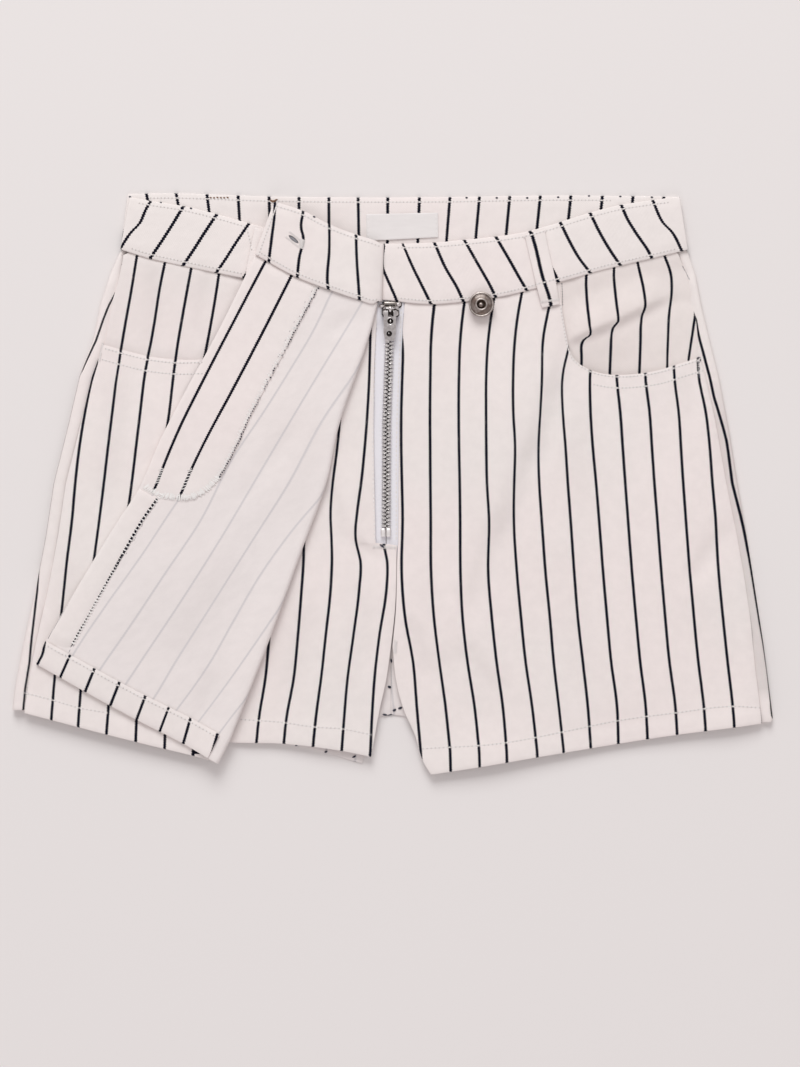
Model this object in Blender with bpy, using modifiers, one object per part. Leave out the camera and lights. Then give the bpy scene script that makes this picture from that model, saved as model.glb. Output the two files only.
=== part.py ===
"""A pinstriped girl's skort, lying flat on its back with its wrap flap folded open.

The frame is +Z up and +Y towards the waist. Left and right are the viewer's, looking down
at the front. Each cut-and-sewn piece is a wall of cloth of its own. The layers lie on each
other in this order: back, pocket facings and zip tapes, fronts, the flap's lower run, the
flap's folded-back upper run, and the strips that finish the flap's edges.
Lengths are in millimetres until a mesh is made.
"""
import math
from collections import namedtuple

import bmesh
import bpy
import numpy as np

MM = 0.001

# ---- driving sizes -------------------------------------------------------------------
CLOTH = 1.0          # wall of one layer of twill with its seam allowances
BAND = 2.0           # wall of the doubled waistband
GAP = 0.3            # space between two layers
JOIN = 0.5           # space between two edges that meet in a seam
SEAM_IN = 7.0        # the side seams lie this far in from the folded sides

# undersides of the layers, from the floor up
FACING_Z = CLOTH + GAP
FRONT_Z = FACING_Z + CLOTH + GAP
FLAP_Z = FRONT_Z + CLOTH + GAP
UPPER_Z = FLAP_Z + CLOTH + GAP
BAND_Z = BAND + GAP
LOOP_Z = BAND_Z + BAND + GAP
UPPER_BAND_Z = 5.9

RIGHT_BAND_RISE = 0.6    # a front waistband's lower edge lies on the fronts, so it is higher
LEFT_BAND_RISE = 0.8
UPPER_BAND_RISE = 1.2
FULLNESS = 1.6           # how far the legs' cloth stands up from the back between its edges
FOLD_LIFT = 2.0          # the flap is not pressed: its fold stands up by this
FOLD_REACH = 14.0        # and comes down over this width
BAND_LIFT = 1.5          # the folded flap is higher where it leaves the waistband

ZIP_X = -1.7             # centre line of the slider and its pull
PIVOT_Y = 96.4           # hinge line of the pull tab
PIVOT_Z = 6.5

# ---- short tables: a row for each section -------------------------------------------------
# the folded sides of the laid garment, from the waistband to the hem
Side = namedtuple("Side", "y left right")
SIDES = [
    Side(131, -153, 165.2), Side(117, -159, 170), Side(100, -164.5, 173.2),
    Side(80, -168.5, 178), Side(60, -176, 183), Side(30, -183, 188.7),
    Side(0, -190.5, 193.5), Side(-30, -195, 198.8), Side(-60, -200.8, 203.4),
    Side(-90, -207.5, 208), Side(-115, -212.3, 211.2), Side(-134, -214.5, 213.6),
]

# a waistband's top and lower edge at each station along it
Station = namedtuple("Station", "top_x top_y low_x low_y")
BACK_BAND = [
    Station(-149, 162.7, -152.9, 131.3), Station(-128, 163, -128, 129.3),
    Station(-69, 161.2, -69, 129), Station(26, 160.8, 26, 129),
    Station(93, 161.8, 93, 129), Station(160.7, 161, 165.2, 131),
]
RIGHT_BAND = [
    Station(-4.0, 134.7, -4.8, 102.8), Station(22.4, 135.2, 21.3, 100.5),
    Station(40, 136.7, 43, 102.2), Station(57.7, 138.6, 62, 105),
    Station(73.4, 141, 80.6, 109.5), Station(94, 146.8, 100.2, 114.8),
    Station(110.6, 152, 116, 119.3), Station(127.1, 156.2, 132.2, 123.2),
    Station(143.9, 158.8, 147.8, 126.8), Station(160.7, 161, 165.2, 131),
]
LEFT_BAND = [
    Station(-147.8, 160.6, -152.9, 131.3), Station(-135.5, 158.4, -138.9, 126.8),
    Station(-117.6, 155.6, -123.8, 123.3), Station(-98.6, 151, -105.3, 119.4),
    Station(-80.6, 145.9, -85.7, 115.4), Station(-52, 138.4, -54.3, 107.6),
    Station(-26.9, 134.9, -27, 102.4), Station(-12, 134, -12, 100.4),
    Station(-4.6, 134.1, -5.8, 104.2),
]
# the waistband beyond the centre front, folded back over itself, from the fold to its end
UPPER_BAND = [
    Station(-4.6, 134.1, -5.8, 104.2), Station(-11, 136.4, -11, 100.3),
    Station(-20.7, 139.4, -18.8, 102.6), Station(-35.6, 145, -36.4, 108.6),
    Station(-50.4, 152.6, -53.8, 115.3), Station(-66.6, 157.8, -77.3, 128.2),
]

# the flap folded back over itself: its fold and the hem's two ends
FLAP_FOLD = [(-9, 98), (-10.9, 91), (-14.6, 78), (-31, 29), (-35.8, 5), (-50.4, -36),
             (-70, -90), (-91, -143.6), (-97.8, -157)]
FLAP_FREE_EDGE = [(-77.8, 126.6), (-83, 115.6), (-97, 87), (-116.5, 51), (-135.5, 12),
                  (-143, -4.5), (-153, -19.5), (-194.6, -88.2), (-199.9, -101.1)]
FLAP_UPPER_HEM = [(-199.9, -101.1), (-186.5, -108.6), (-172, -116.8), (-145, -131.6),
                  (-116.5, -146.2)]
FLAP_LOWER_HEM = [(-206.8, -128.6), (-191.5, -132.6), (-160, -140.8), (-134, -147.3),
                  (-120, -150.6), (-108, -153.6)]
# the allowance turned in down the free edge, below the facing: its free and inner lines
TURN_IN_FREE = [(-142.2, -3.4), (-153, -19.5), (-193.9, -87)]
TURN_IN_INNER = [(-131.5, -9), (-139, -20.5), (-150.5, -40), (-169, -71.5), (-180.6, -93.2)]
FACING_INNER = [(-42, 108.6), (-62.5, 70), (-80.4, 35.6), (-91, 13), (-96.5, 3.5),
                (-104, -4), (-112, -8.2), (-122, -8.6)]
FACING_END = (-141.5, -2.4)

# the scoop of each front pocket, from the waistband to the side seam
SCOOP_RIGHT_DROP = [(94, 112.4), (95, 100), (97, 87), (99.2, 76)]
SCOOP_RIGHT_BOTTOM = [(99.2, 76), (101.5, 70.5), (107, 65.8), (114, 62.6), (123, 61),
                      (135, 61.2), (149, 63.3), (161, 67), (173.3, 70.8)]
SCOOP_LEFT_BOTTOM = [(-162.6, 77.8), (-152, 74.9), (-138, 71.4), (-122, 69.5), (-107, 69.6),
                     (-97, 72.4)]
SCOOP_LEFT_DROP = [(-97, 72.4), (-89, 81), (-83.5, 96), (-77, 112.8)]

FLY_EDGE = [(6.6, 101.2), (6.0, 94), (5.0, 78), (3.6, 36), (2.9, -33.4)]
CENTRE_SEAM = [(2.6, -37), (1.5, -72), (-0.3, -91)]
RIGHT_INNER_LEG = [(-0.3, -91), (1.7, -110.6), (6.2, -127.4), (12.3, -141), (17.4, -157),
                   (21.3, -163.2)]
RIGHT_HEM = [(21.3, -163.2), (31.9, -161.6), (63.3, -156.5), (95.5, -151), (126, -146),
             (159, -140.9), (191.5, -136.7), (206.4, -134.6)]
TAPE_EDGE = [(-8.9, 98.9), (-10.7, 60), (-10.9, 36), (-9.8, -33.4)]
LEFT_INNER_LEG = [(-1.2, -91.5), (-3.9, -110.6), (-7.3, -125.7), (-12.3, -153.2)]
LEFT_HEM = [(-210.6, -126), (-150, -137.5), (-91, -145.2), (-61, -146), (-45, -147.6),
            (-28.8, -149.9), (-12.3, -153.2)]

# soft folds of the right front: centre line at its two ends, half width and height
Fold = namedtuple("Fold", "x0 y0 x1 y1 reach height")
RIGHT_FOLDS = [
    Fold(64, 88, 66, -60, 13, 1.3), Fold(90, 66, 92, -70, 14, 1.5),
    Fold(30, -40, 60, -130, 14, 1.0), Fold(150, 20, 172, -90, 16, 1.1),
]
LEFT_FOLDS = [Fold(-22, 20, -34, -130, 9, 1.0)]

# ---- colours ----------------------------------------------------------------------------
CREAM = (0.80, 0.75, 0.71, 1.0)
TAPE_WHITE = (0.72, 0.72, 0.77, 1.0)
LABEL_WHITE = (0.86, 0.85, 0.84, 1.0)
NICKEL = (0.62, 0.62, 0.62, 1.0)
OLD_NICKEL = (0.42, 0.39, 0.35, 1.0)


def clear_scene():
    for item in list(bpy.data.objects):
        bpy.data.objects.remove(item, do_unlink=True)


def make_material(name, colour, roughness, metallic):
    material = bpy.data.materials.new(name)
    material.use_nodes = True
    shader = material.node_tree.nodes["Principled BSDF"]
    shader.inputs["Base Color"].default_value = colour
    shader.inputs["Roughness"].default_value = roughness
    shader.inputs["Metallic"].default_value = metallic
    material.diffuse_color = colour
    return material


# ---- curves and patches ---------------------------------------------------------------------
def ease(start, end, value):
    """0 at start and 1 at end, with a soft start and finish."""
    part = np.clip((np.asarray(value, float) - start) / (end - start), 0.0, 1.0)
    return part * part * (3.0 - 2.0 * part)


def sample(points, cells):
    """Even steps along the smooth curve through the points."""
    points = np.array(points, float)
    reach = np.r_[0.0, np.cumsum(np.linalg.norm(np.diff(points, axis=0), axis=1))]
    if len(points) > 2:
        slopes = np.gradient(points, reach, axis=0)
        dense = []
        for i in range(len(points) - 1):
            span = reach[i + 1] - reach[i]
            t = np.linspace(0.0, 1.0, 12, endpoint=False)[:, None]
            dense.append((2 * t**3 - 3 * t**2 + 1) * points[i]
                         + (t**3 - 2 * t**2 + t) * span * slopes[i]
                         + (3 * t**2 - 2 * t**3) * points[i + 1]
                         + (t**3 - t**2) * span * slopes[i + 1])
        points = np.vstack(dense + [points[-1:]])
        reach = np.r_[0.0, np.cumsum(np.linalg.norm(np.diff(points, axis=0), axis=1))]
    steps = np.linspace(0.0, reach[-1], cells + 1)
    return np.stack([np.interp(steps, reach, points[:, axis]) for axis in range(2)], axis=1)


def edge(*segments):
    """One edge of a panel from (points, cells) segments that meet at its corners."""
    runs = [sample(points, cells) for points, cells in segments]
    return np.vstack([runs[0]] + [run[1:] for run in runs[1:]])


def shares(line):
    steps = np.r_[0.0, np.cumsum(np.linalg.norm(np.diff(line, axis=0), axis=1))]
    return steps / steps[-1]


def patch(top, bottom, left, right):
    """The plan of a panel between its four edges, as rows from its top to its bottom."""
    u = ((shares(top) + shares(bottom)) / 2.0)[None, :, None]
    v = ((shares(left) + shares(right)) / 2.0)[:, None, None]
    across = (1 - v) * top[None] + v * bottom[None]
    down = (1 - u) * left[:, None] + u * right[:, None]
    corners = ((1 - u) * (1 - v) * top[0] + u * (1 - v) * top[-1]
               + (1 - u) * v * bottom[0] + u * v * bottom[-1])
    return across + down - corners


def raised(plan, height):
    """The plan's points with the height of each."""
    z = np.broadcast_to(height, plan.shape[:2])
    return np.dstack([plan, z])


# ---- heights ----------------------------------------------------------------------------------
SIDE_Y = np.array([row.y for row in SIDES[::-1]], float)
SIDE_LEFT = np.array([row.left for row in SIDES[::-1]], float)
SIDE_RIGHT = np.array([row.right for row in SIDES[::-1]], float)


def side_left(y):
    return np.interp(y, SIDE_Y, SIDE_LEFT)


def side_right(y):
    return np.interp(y, SIDE_Y, SIDE_RIGHT)


def fullness(x, y):
    """How far all the layers of the front stand up over the back, 0 at band and sides."""
    across = ease(0, 60, x - side_left(y)) * ease(0, 60, side_right(y) - x)
    down = ease(110, 40, y) * (1.0 - 0.6 * ease(-50, -150, y))
    return FULLNESS * across * down


def fold_relief(x, y, folds):
    """Soft ridges between the two ends of each fold."""
    total = np.zeros(np.shape(x))
    for fold in folds:
        along = np.array([fold.x1 - fold.x0, fold.y1 - fold.y0], float)
        length = np.hypot(*along)
        along /= length
        step = (x - fold.x0) * along[0] + (y - fold.y0) * along[1]
        side = (x - fold.x0) * along[1] - (y - fold.y0) * along[0]
        ends = ease(0, 0.3 * length, step) * ease(length, 0.7 * length, step)
        total = total + fold.height * ends * np.exp(-(side / fold.reach) ** 2)
    return total


def flap_fold_x(y):
    line = np.array(FLAP_FOLD[::-1], float)
    return np.interp(y, line[:, 1], line[:, 0])


def upper_height(x, y):
    """Middle of the flap's upper run, which stands up towards its fold and the band."""
    off_fold = np.maximum(flap_fold_x(y) - x, 0.0)
    lift = FOLD_LIFT * np.exp(-(off_fold / FOLD_REACH) ** 2)
    return UPPER_Z + CLOTH / 2 + fullness(x, y) + lift + BAND_LIFT * ease(60, 104, y)


def lower_height(x, y):
    """Middle of the flap's lower run."""
    return FLAP_Z + CLOTH / 2 + fullness(x, y)


# ---- meshes -------------------------------------------------------------------------------------
def shell(name, grid, wall, offset, material, collection):
    """A wall of cloth on a grid of points. Offset 1 puts it above them and 0 around them."""
    rows, columns = grid.shape[:2]
    mesh = bpy.data.meshes.new(name)
    corners = [(r * columns + c, (r + 1) * columns + c, (r + 1) * columns + c + 1,
                r * columns + c + 1)
               for r in range(rows - 1) for c in range(columns - 1)]
    mesh.from_pydata((grid.reshape(-1, 3) * MM).tolist(), [], corners)
    mesh.materials.append(material)
    item = bpy.data.objects.new(name, mesh)
    collection.objects.link(item)
    solid = item.modifiers.new("wall", "SOLIDIFY")
    solid.thickness = wall * MM
    solid.offset = offset
    solid.use_even_offset = True
    return item


def outline_solid(name, outlines, thickness, material, collection):
    """A flat plate from closed outlines in plan: the first is its edge, the others holes."""
    curve = bpy.data.curves.new(name, "CURVE")
    curve.dimensions = "2D"
    curve.fill_mode = "BOTH"
    curve.extrude = thickness / 2 * MM
    for outline in outlines:
        spline = curve.splines.new("POLY")
        spline.points.add(len(outline) - 1)
        for point, (x, y) in zip(spline.points, outline):
            point.co = (x * MM, y * MM, 0.0, 1.0)
        spline.use_cyclic_u = True
    holder = bpy.data.objects.new(name, curve)
    collection.objects.link(holder)
    bpy.context.view_layer.update()
    graph = bpy.context.evaluated_depsgraph_get()
    mesh = bpy.data.meshes.new_from_object(holder.evaluated_get(graph))
    bpy.data.objects.remove(holder, do_unlink=True)
    work = bmesh.new()
    work.from_mesh(mesh)
    bmesh.ops.remove_doubles(work, verts=work.verts, dist=1e-6)
    bmesh.ops.recalc_face_normals(work, faces=work.faces)
    work.to_mesh(mesh)
    work.free()
    mesh.name = name
    mesh.materials.clear()
    mesh.materials.append(material)
    item = bpy.data.objects.new(name, mesh)
    collection.objects.link(item)
    return item


def circle(x, y, radius, count=20):
    turns = [2 * math.pi * step / count for step in range(count)]
    return [(x + radius * math.cos(turn), y + radius * math.sin(turn)) for turn in turns]


def bevel(item, width, segments=2):
    modifier = item.modifiers.new("edges", "BEVEL")
    modifier.width = width * MM
    modifier.segments = segments
    modifier.limit_method = "ANGLE"
    modifier.angle_limit = math.radians(40)


# ---- the back -----------------------------------------------------------------------------------
def rolled_side(y_rows, side, lip_z):
    """The back's cloth turned up round the side and in over the front as far as the seam."""
    low = CLOTH / 2
    high = lip_z + CLOTH / 2
    radius = (high - low) / 2
    sign = 1 if side is side_right else -1
    columns = []
    for turn in (-45, 0, 45, 90):
        angle = math.radians(turn)
        x = side(y_rows) - sign * (radius + CLOTH / 2) + sign * radius * math.cos(angle)
        z = low + radius + radius * math.sin(angle)
        columns.append(np.stack([x, y_rows, np.full(len(y_rows), z)], axis=1))
    lip_end = side(y_rows) - sign * (SEAM_IN - JOIN / 2)
    columns.append(np.stack([lip_end, y_rows, np.full(len(y_rows), high)], axis=1))
    return np.stack(columns, axis=1)


def make_back(name, side, lip_z, centre_edge, hem, material, collection):
    """Half of the back: flat on the floor, with its side rolled up and over."""
    sign = 1 if side is side_right else -1
    inset = (lip_z + CLOTH) / 2
    y_rows = np.array([centre_edge[0][1]] + [row.y for row in SIDES[1:-1]] + [hem[-1][1]], float)
    outer = np.stack([side(y_rows) - sign * inset, y_rows], axis=1)
    inner = edge((centre_edge[:2], 8), (centre_edge[1:], 3))
    top = edge(([centre_edge[0], tuple(outer[0])], 5))
    bottom = edge((hem[:-1] + [tuple(outer[-1])], 5))
    flat = raised(patch(top, bottom, inner, outer), CLOTH / 2)
    grid = np.concatenate([flat, rolled_side(y_rows, side, lip_z)], axis=1)
    return shell(name, grid, CLOTH, 0.0, material, collection)


def make_backs(material, collection):
    left_centre = [(-1.2, 128.2), (-1.2, -129.6), (-9, -131.5), (-13, -142), (-17.4, -157.1)]
    left_hem = [(-17.4, -157.1), (-38, -151), (-55, -147), (-100, -143), (-160, -135.5),
                (-213, -127)]
    make_back("back_left", side_left, FLAP_Z, left_centre, left_hem, material, collection)
    right_centre = [(-0.8, 128.2), (-0.8, -129.6), (8, -131.5), (14, -142), (20.5, -159)]
    right_hem = [(20.5, -159), (63, -153.5), (126, -143.5), (180, -137), (212, -133.8)]
    make_back("back_right", side_right, FRONT_Z, right_centre, right_hem, material, collection)


# ---- waistbands ---------------------------------------------------------------------------------
def band_edges(stations, cells):
    top = sample([(row.top_x, row.top_y) for row in stations], cells)
    low = sample([(row.low_x, row.low_y) for row in stations], cells)
    return top, low


def band_grid(stations, cells, underside, rise, rows=2):
    """A stretch of waistband, whose underside rises from its top edge to its lower edge."""
    top, low = band_edges(stations, cells)
    lines = []
    for step in np.linspace(0.0, 1.0, rows + 1):
        line = top * (1 - step) + low * step
        lines.append(np.column_stack([line, np.full(cells + 1, underside + rise * step)]))
    return np.stack(lines)


def make_bands(material, collection):
    back = band_grid(BACK_BAND, 12, 0.0, 0.0, rows=1)
    shell("waistband_back", back, BAND, 1.0, material, collection)
    right = band_grid(RIGHT_BAND, 16, BAND_Z, RIGHT_BAND_RISE)
    shell("waistband_right", right, BAND, 1.0, material, collection)

    middle = BAND / 2
    lower = band_grid(LEFT_BAND, 14, BAND_Z + middle, LEFT_BAND_RISE)
    upper = band_grid(UPPER_BAND, 8, UPPER_BAND_Z + middle, UPPER_BAND_RISE)
    radius = (upper[:, 0, 2] - lower[:, -1, 2]) / 2
    centre_z = (upper[:, 0, 2] + lower[:, -1, 2]) / 2
    reach = radius + middle
    for run in (lower[:, -1], upper[:, 0]):
        run[:, 0] -= reach
    turns = []
    for angle in (-50, 0, 50):
        turn = lower[:, -1].copy()
        turn[:, 0] += radius * math.cos(math.radians(angle))
        turn[:, 2] = centre_z + radius * math.sin(math.radians(angle))
        turns.append(turn)
    grid = np.concatenate([lower[:, :-2], lower[:, -1:], np.stack(turns, axis=1),
                           upper[:, :1], upper[:, 2:]], axis=1)
    shell("waistband_left", grid, BAND, 0.0, material, collection)


# ---- fronts and pockets -------------------------------------------------------------------------
def seam_edge(side, y_rows, inset=SEAM_IN + JOIN / 2):
    sign = 1 if side is side_right else -1
    return np.stack([side(y_rows) - sign * inset, y_rows], axis=1)


def make_front_right(material, collection):
    band_low = [(row.low_x, row.low_y - JOIN) for row in RIGHT_BAND[1:5]]
    top = edge(([FLY_EDGE[0]] + band_low + [SCOOP_RIGHT_DROP[0]], 6),
               (SCOOP_RIGHT_DROP, 3), (SCOOP_RIGHT_BOTTOM, 7))
    hem = np.array(RIGHT_HEM, float)
    bottom = edge((RIGHT_HEM[:3] + [(76, -154.3)], 6), ([(76, -154.3), (94, -151.3)], 3),
                  ([(94, -151.3)] + RIGHT_HEM[4:], 7))
    left = edge((FLY_EDGE, 8), ([FLY_EDGE[-1]] + CENTRE_SEAM, 4), (RIGHT_INNER_LEG, 5))
    right = seam_edge(side_right, np.linspace(SCOOP_RIGHT_BOTTOM[-1][1], hem[-1][1], 18))
    plan = patch(top, bottom, left, right)
    x, y = plan[..., 0], plan[..., 1]
    height = FRONT_Z + fullness(x, y) + fold_relief(x, y, RIGHT_FOLDS)
    shell("front_right", raised(plan, height), CLOTH, 1.0, material, collection)


def make_front_left(material, collection):
    """The shorts' own left front, mostly under the flap."""
    band_low = [(row.low_x, row.low_y - JOIN) for row in LEFT_BAND[1:-1]]
    top = edge(([(-149, 128)] + band_low[:-1] + [TAPE_EDGE[0]], 12))
    bottom = edge((LEFT_HEM, 12))
    seam = [(x - JOIN, y) for x, y in CENTRE_SEAM]
    right = edge((TAPE_EDGE, 6), ([TAPE_EDGE[-1], (seam[0][0], -34.6)], 1),
                 ([(seam[0][0], -34.6)] + seam[1:2] + [LEFT_INNER_LEG[0]], 4),
                 (LEFT_INNER_LEG, 4))
    # the rows lie level with the foot of the zip, where the right edge steps out
    levels = np.r_[np.linspace(128, -31, 7), np.linspace(-40, LEFT_HEM[0][1], 9)]
    left = seam_edge(side_left, levels, inset=3.6)
    left[0] = top[0]
    plan = patch(top, bottom, left, right)
    x, y = plan[..., 0], plan[..., 1]
    rise = (FRONT_Z - FACING_Z) * ease(-72, -40, x)
    height = FACING_Z + rise + fullness(x, y) + fold_relief(x, y, LEFT_FOLDS)
    shell("front_left", raised(plan, height), CLOTH, 1.0, material, collection)


def make_facing_right(material, collection):
    """The pocket's facing, with the soft fold that lies across its opening."""
    top = edge(([(87, 110.2), (100.2, 114.2), (116, 118.7), (132.2, 122.6), (157, 128.2)], 8))
    right = seam_edge(side_right, np.linspace(128.2, 56, 9))
    right[0] = top[-1]
    left = edge(([(87, 110.2), (89, 50)], 8))
    bottom = edge(([(89, 50), tuple(right[-1])], 8))
    plan = patch(top, bottom, left, right)
    x, y = plan[..., 0], plan[..., 1]
    crest = 80 + (x - 100) * 0.46
    inside = ease(100, 118, x) * ease(66, 84, y)
    height = FACING_Z + inside * (1.1 + 0.9 * np.exp(-((y - crest) / 7.0) ** 2))
    shell("pocket_facing_right", raised(plan, height), CLOTH, 1.0, material, collection)


def make_facing_left(material, collection):
    top = edge(([(-146, 128.2), (-138.9, 126.2), (-123.8, 122.8), (-105.3, 118.9),
                 (-85.7, 114.9), (-73.5, 111.8)], 6))
    left = seam_edge(side_left, np.linspace(128.2, 60, 6))
    left[0] = top[0]
    right = edge(([(-73.5, 111.8), (-76, 56)], 5))
    bottom = edge(([tuple(left[-1]), (-76, 56)], 6))
    plan = patch(top, bottom, left, right)
    height = FRONT_Z + fullness(plan[..., 0], plan[..., 1])
    shell("pocket_facing_left", raised(plan, height), CLOTH, 1.0, material, collection)


# ---- the flap -----------------------------------------------------------------------------------
FLAP_ROWS = 16


def fold_rows():
    """Points down the fold, their outward direction in plan and the roll's radius."""
    line = edge((FLAP_FOLD[:-1], FLAP_ROWS - 1), (FLAP_FOLD[-2:], 1))
    along = np.gradient(line, axis=0)
    along /= np.linalg.norm(along, axis=1)[:, None]
    outward = np.stack([-along[:, 1], along[:, 0]], axis=1)
    low = lower_height(line[:, 0], line[:, 1])
    high = upper_height(line[:, 0], line[:, 1])
    radius = (high - low) / 2
    inner = line - outward * (radius + CLOTH / 2)[:, None]
    return inner, outward, low, high, radius


def flap_upper_plan(inner):
    """Plan of the folded-back run, from its free edge to the fold."""
    cells_across = 10
    band_low = [(row.low_x, row.low_y - JOIN) for row in UPPER_BAND[2:-1]][::-1]
    top = edge(([FLAP_FREE_EDGE[0]] + band_low + [tuple(inner[0])], cells_across))
    bottom = edge((FLAP_UPPER_HEM + [tuple(inner[-1])], cells_across))
    free = edge((FLAP_FREE_EDGE[:-1], FLAP_ROWS - 1), (FLAP_FREE_EDGE[-2:], 1))
    return patch(top, bottom, free, inner)


def make_flap(material, collection):
    """One sheet: it starts at the side seam, turns round the fold and comes back over itself."""
    inner, outward, low, high, radius = fold_rows()
    band_low = [(row.low_x, row.low_y - JOIN) for row in LEFT_BAND[5:7]]
    top = edge((SCOOP_LEFT_BOTTOM, 4), (SCOOP_LEFT_DROP, 3),
               ([SCOOP_LEFT_DROP[-1]] + band_low + [tuple(inner[0])], 4))
    bottom = edge((FLAP_LOWER_HEM[:4], 4), (FLAP_LOWER_HEM[3:5], 3),
                  (FLAP_LOWER_HEM[4:] + [tuple(inner[-1])], 4))
    seam = seam_edge(side_left, np.linspace(SCOOP_LEFT_BOTTOM[0][1], FLAP_LOWER_HEM[0][1],
                                            FLAP_ROWS + 1))
    plan = patch(top, bottom, seam, inner)
    lower = raised(plan, lower_height(plan[..., 0], plan[..., 1]))
    lower[:, -1, 2] = low
    turns = []
    for angle in (-45, 0, 45):
        reach = radius * math.cos(math.radians(angle))
        z = low + radius + radius * math.sin(math.radians(angle))
        turns.append(np.column_stack([inner + outward * reach[:, None], z]))
    plan = flap_upper_plan(inner)
    upper = raised(plan, upper_height(plan[..., 0], plan[..., 1]))
    upper[:, -1, 2] = high
    grid = np.concatenate([lower, np.stack(turns, axis=1), upper[:, ::-1]], axis=1)
    shell("flap", grid, CLOTH, 0.0, material, collection)
    return upper


def make_flap_strips(upper, material, collection):
    """What is turned in or sewn on along the flap's edges, on the points it lies on."""
    on_flap = CLOTH / 2 + GAP
    hem = upper[-2:, :-1].copy()
    hem[..., 2] += on_flap
    shell("flap_hem", hem, CLOTH, 1.0, material, collection)

    top = edge(([FLAP_FREE_EDGE[0], (-53.8, 114.7), FACING_INNER[0]], 4))
    bottom = edge(([FACING_END, (-132, -6.8), FACING_INNER[-1]], 4))
    left = edge((FLAP_FREE_EDGE[:5] + [FACING_END], 11))
    plan = patch(top, bottom, left, edge((FACING_INNER, 11)))
    z = upper_height(plan[..., 0], plan[..., 1]) + on_flap
    shell("flap_facing", raised(plan, z), CLOTH, 1.0, material, collection)

    left = sample(TURN_IN_FREE, 6)
    right = sample(TURN_IN_INNER, 6)
    plan = np.stack([left, right], axis=1)
    z = upper_height(plan[..., 0], plan[..., 1]) + on_flap
    shell("flap_edge", raised(plan, z), CLOTH, 1.0, material, collection)


# ---- belt loops and label -----------------------------------------------------------------------
def strip(name, left, right, heights, wall, material, collection):
    """A narrow band from paired points down its two edges and its underside's height."""
    left = np.column_stack([np.array(left, float), heights])
    right = np.column_stack([np.array(right, float), heights])
    shell(name, np.stack([left, right], axis=1), wall, 1.0, material, collection)


def make_loops(material, collection):
    over = LOOP_Z + 0.15
    left = [(73.7, 139.2), (76.5, 127), (80.2, 111), (81.8, 105), (82.5, 102.4), (83.4, 98.4)]
    right = [(84.9, 142.4), (87.4, 130), (91, 114), (92.4, 106.6), (92.9, 103.4), (93.5, 100.4)]
    heights = [over, over + 0.3, over + 0.7, over + 0.3, FRONT_Z + CLOTH + 0.9,
               FRONT_Z + CLOTH + 0.5]
    strip("belt_loop_right", left, right, heights, CLOTH, material, collection)
    left = [(-77.5, 143.4), (-80.2, 130), (-82.6, 117.4)]
    right = [(-66.2, 140.4), (-68.9, 127), (-71.2, 114.6)]
    heights = [LOOP_Z + 0.1, LOOP_Z + 0.45, LOOP_Z + LEFT_BAND_RISE + 0.05]
    strip("belt_loop_left", left, right, heights, CLOTH, material, collection)


def make_label(material, collection):
    left = [(-15.1, 151.2), (-14.9, 136.1)]
    right = [(25.2, 152), (25.4, 138.2)]
    strip("label", left, right, [BAND + GAP, BAND + GAP], 1.0, material, collection)


# ---- zip ----------------------------------------------------------------------------------------
CHAIN_LINE = [(-1.7, 93.4), (-2.1, 78), (-3.6, 36), (-3.9, -25.2)]
CHAIN_WIDTH = 4.8
TAPE_WIDTH = 13.0


def make_zip_tapes(material, collection):
    line = sample([(-1.7, 101.2)] + CHAIN_LINE[1:3] + [(-3.9, -41)], 8)
    for name, sign in (("zip_tape_left", -1), ("zip_tape_right", 1)):
        inner = line + np.array([sign * 0.2, 0.0])
        outer = line + np.array([sign * TAPE_WIDTH, 0.0])
        pair = [outer, inner] if sign < 0 else [inner, outer]
        grid = raised(np.stack(pair, axis=1), FACING_Z)
        shell(name, grid, CLOTH, 1.0, material, collection)


def make_zip_metal(metal, collection):
    line = sample(CHAIN_LINE, 8)
    half = np.array([CHAIN_WIDTH / 2, 0.0])
    grid = raised(np.stack([line - half, line + half], axis=1), FRONT_Z)
    shell("zip_chain", grid, 2.0, 1.0, metal, collection)

    stop = outline_solid("zip_stop", [[(-6.8, -29.9), (-1.0, -29.9), (-1.0, -25.6),
                                       (-6.8, -25.6)]], 2.2, metal, collection)
    stop.location.z = (FRONT_Z + 1.1) * MM
    bevel(stop, 0.6)


def make_slider(metal, collection, cutters):
    """A flat body with two shoulders, and the bail that the pull tab hangs on."""
    body_height = 3.0
    half_outline = [(3.2, 101.5), (6.0, 100.4), (6.4, 98.6), (5.6, 96.8), (4.2, 95.4),
                    (3.9, 94.0)]
    right = [(ZIP_X + x, y) for x, y in half_outline]
    left = [(ZIP_X - x, y) for x, y in half_outline[::-1]]
    slider = outline_solid("zip_slider", [right + left], body_height, metal, collection)
    slider.location.z = (FRONT_Z + body_height / 2) * MM
    bevel(slider, 0.4)

    # the bail is drawn side-on: y runs along the zip and z stands in for the outline's y
    top = FRONT_Z + body_height
    arch = [(94.7, top - 0.6), (95.5, top - 0.6), (95.5, top + 1.5), (95.8, top + 1.8),
            (97.6, top + 1.8), (97.9, top + 1.5), (97.9, top - 0.6), (98.7, top - 0.6),
            (98.7, top + 1.9), (98.0, top + 2.6), (95.4, top + 2.6), (94.7, top + 1.9)]
    bail = outline_solid("zip_bail_shape", [arch], 2.0, metal, cutters)
    bail.rotation_euler = (math.radians(90), 0.0, math.radians(90))
    bail.location.x = ZIP_X * MM
    bail.hide_render = True
    bail.display_type = "WIRE"
    union = slider.modifiers.new("bail", "BOOLEAN")
    union.operation = "UNION"
    union.object = bail


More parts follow.
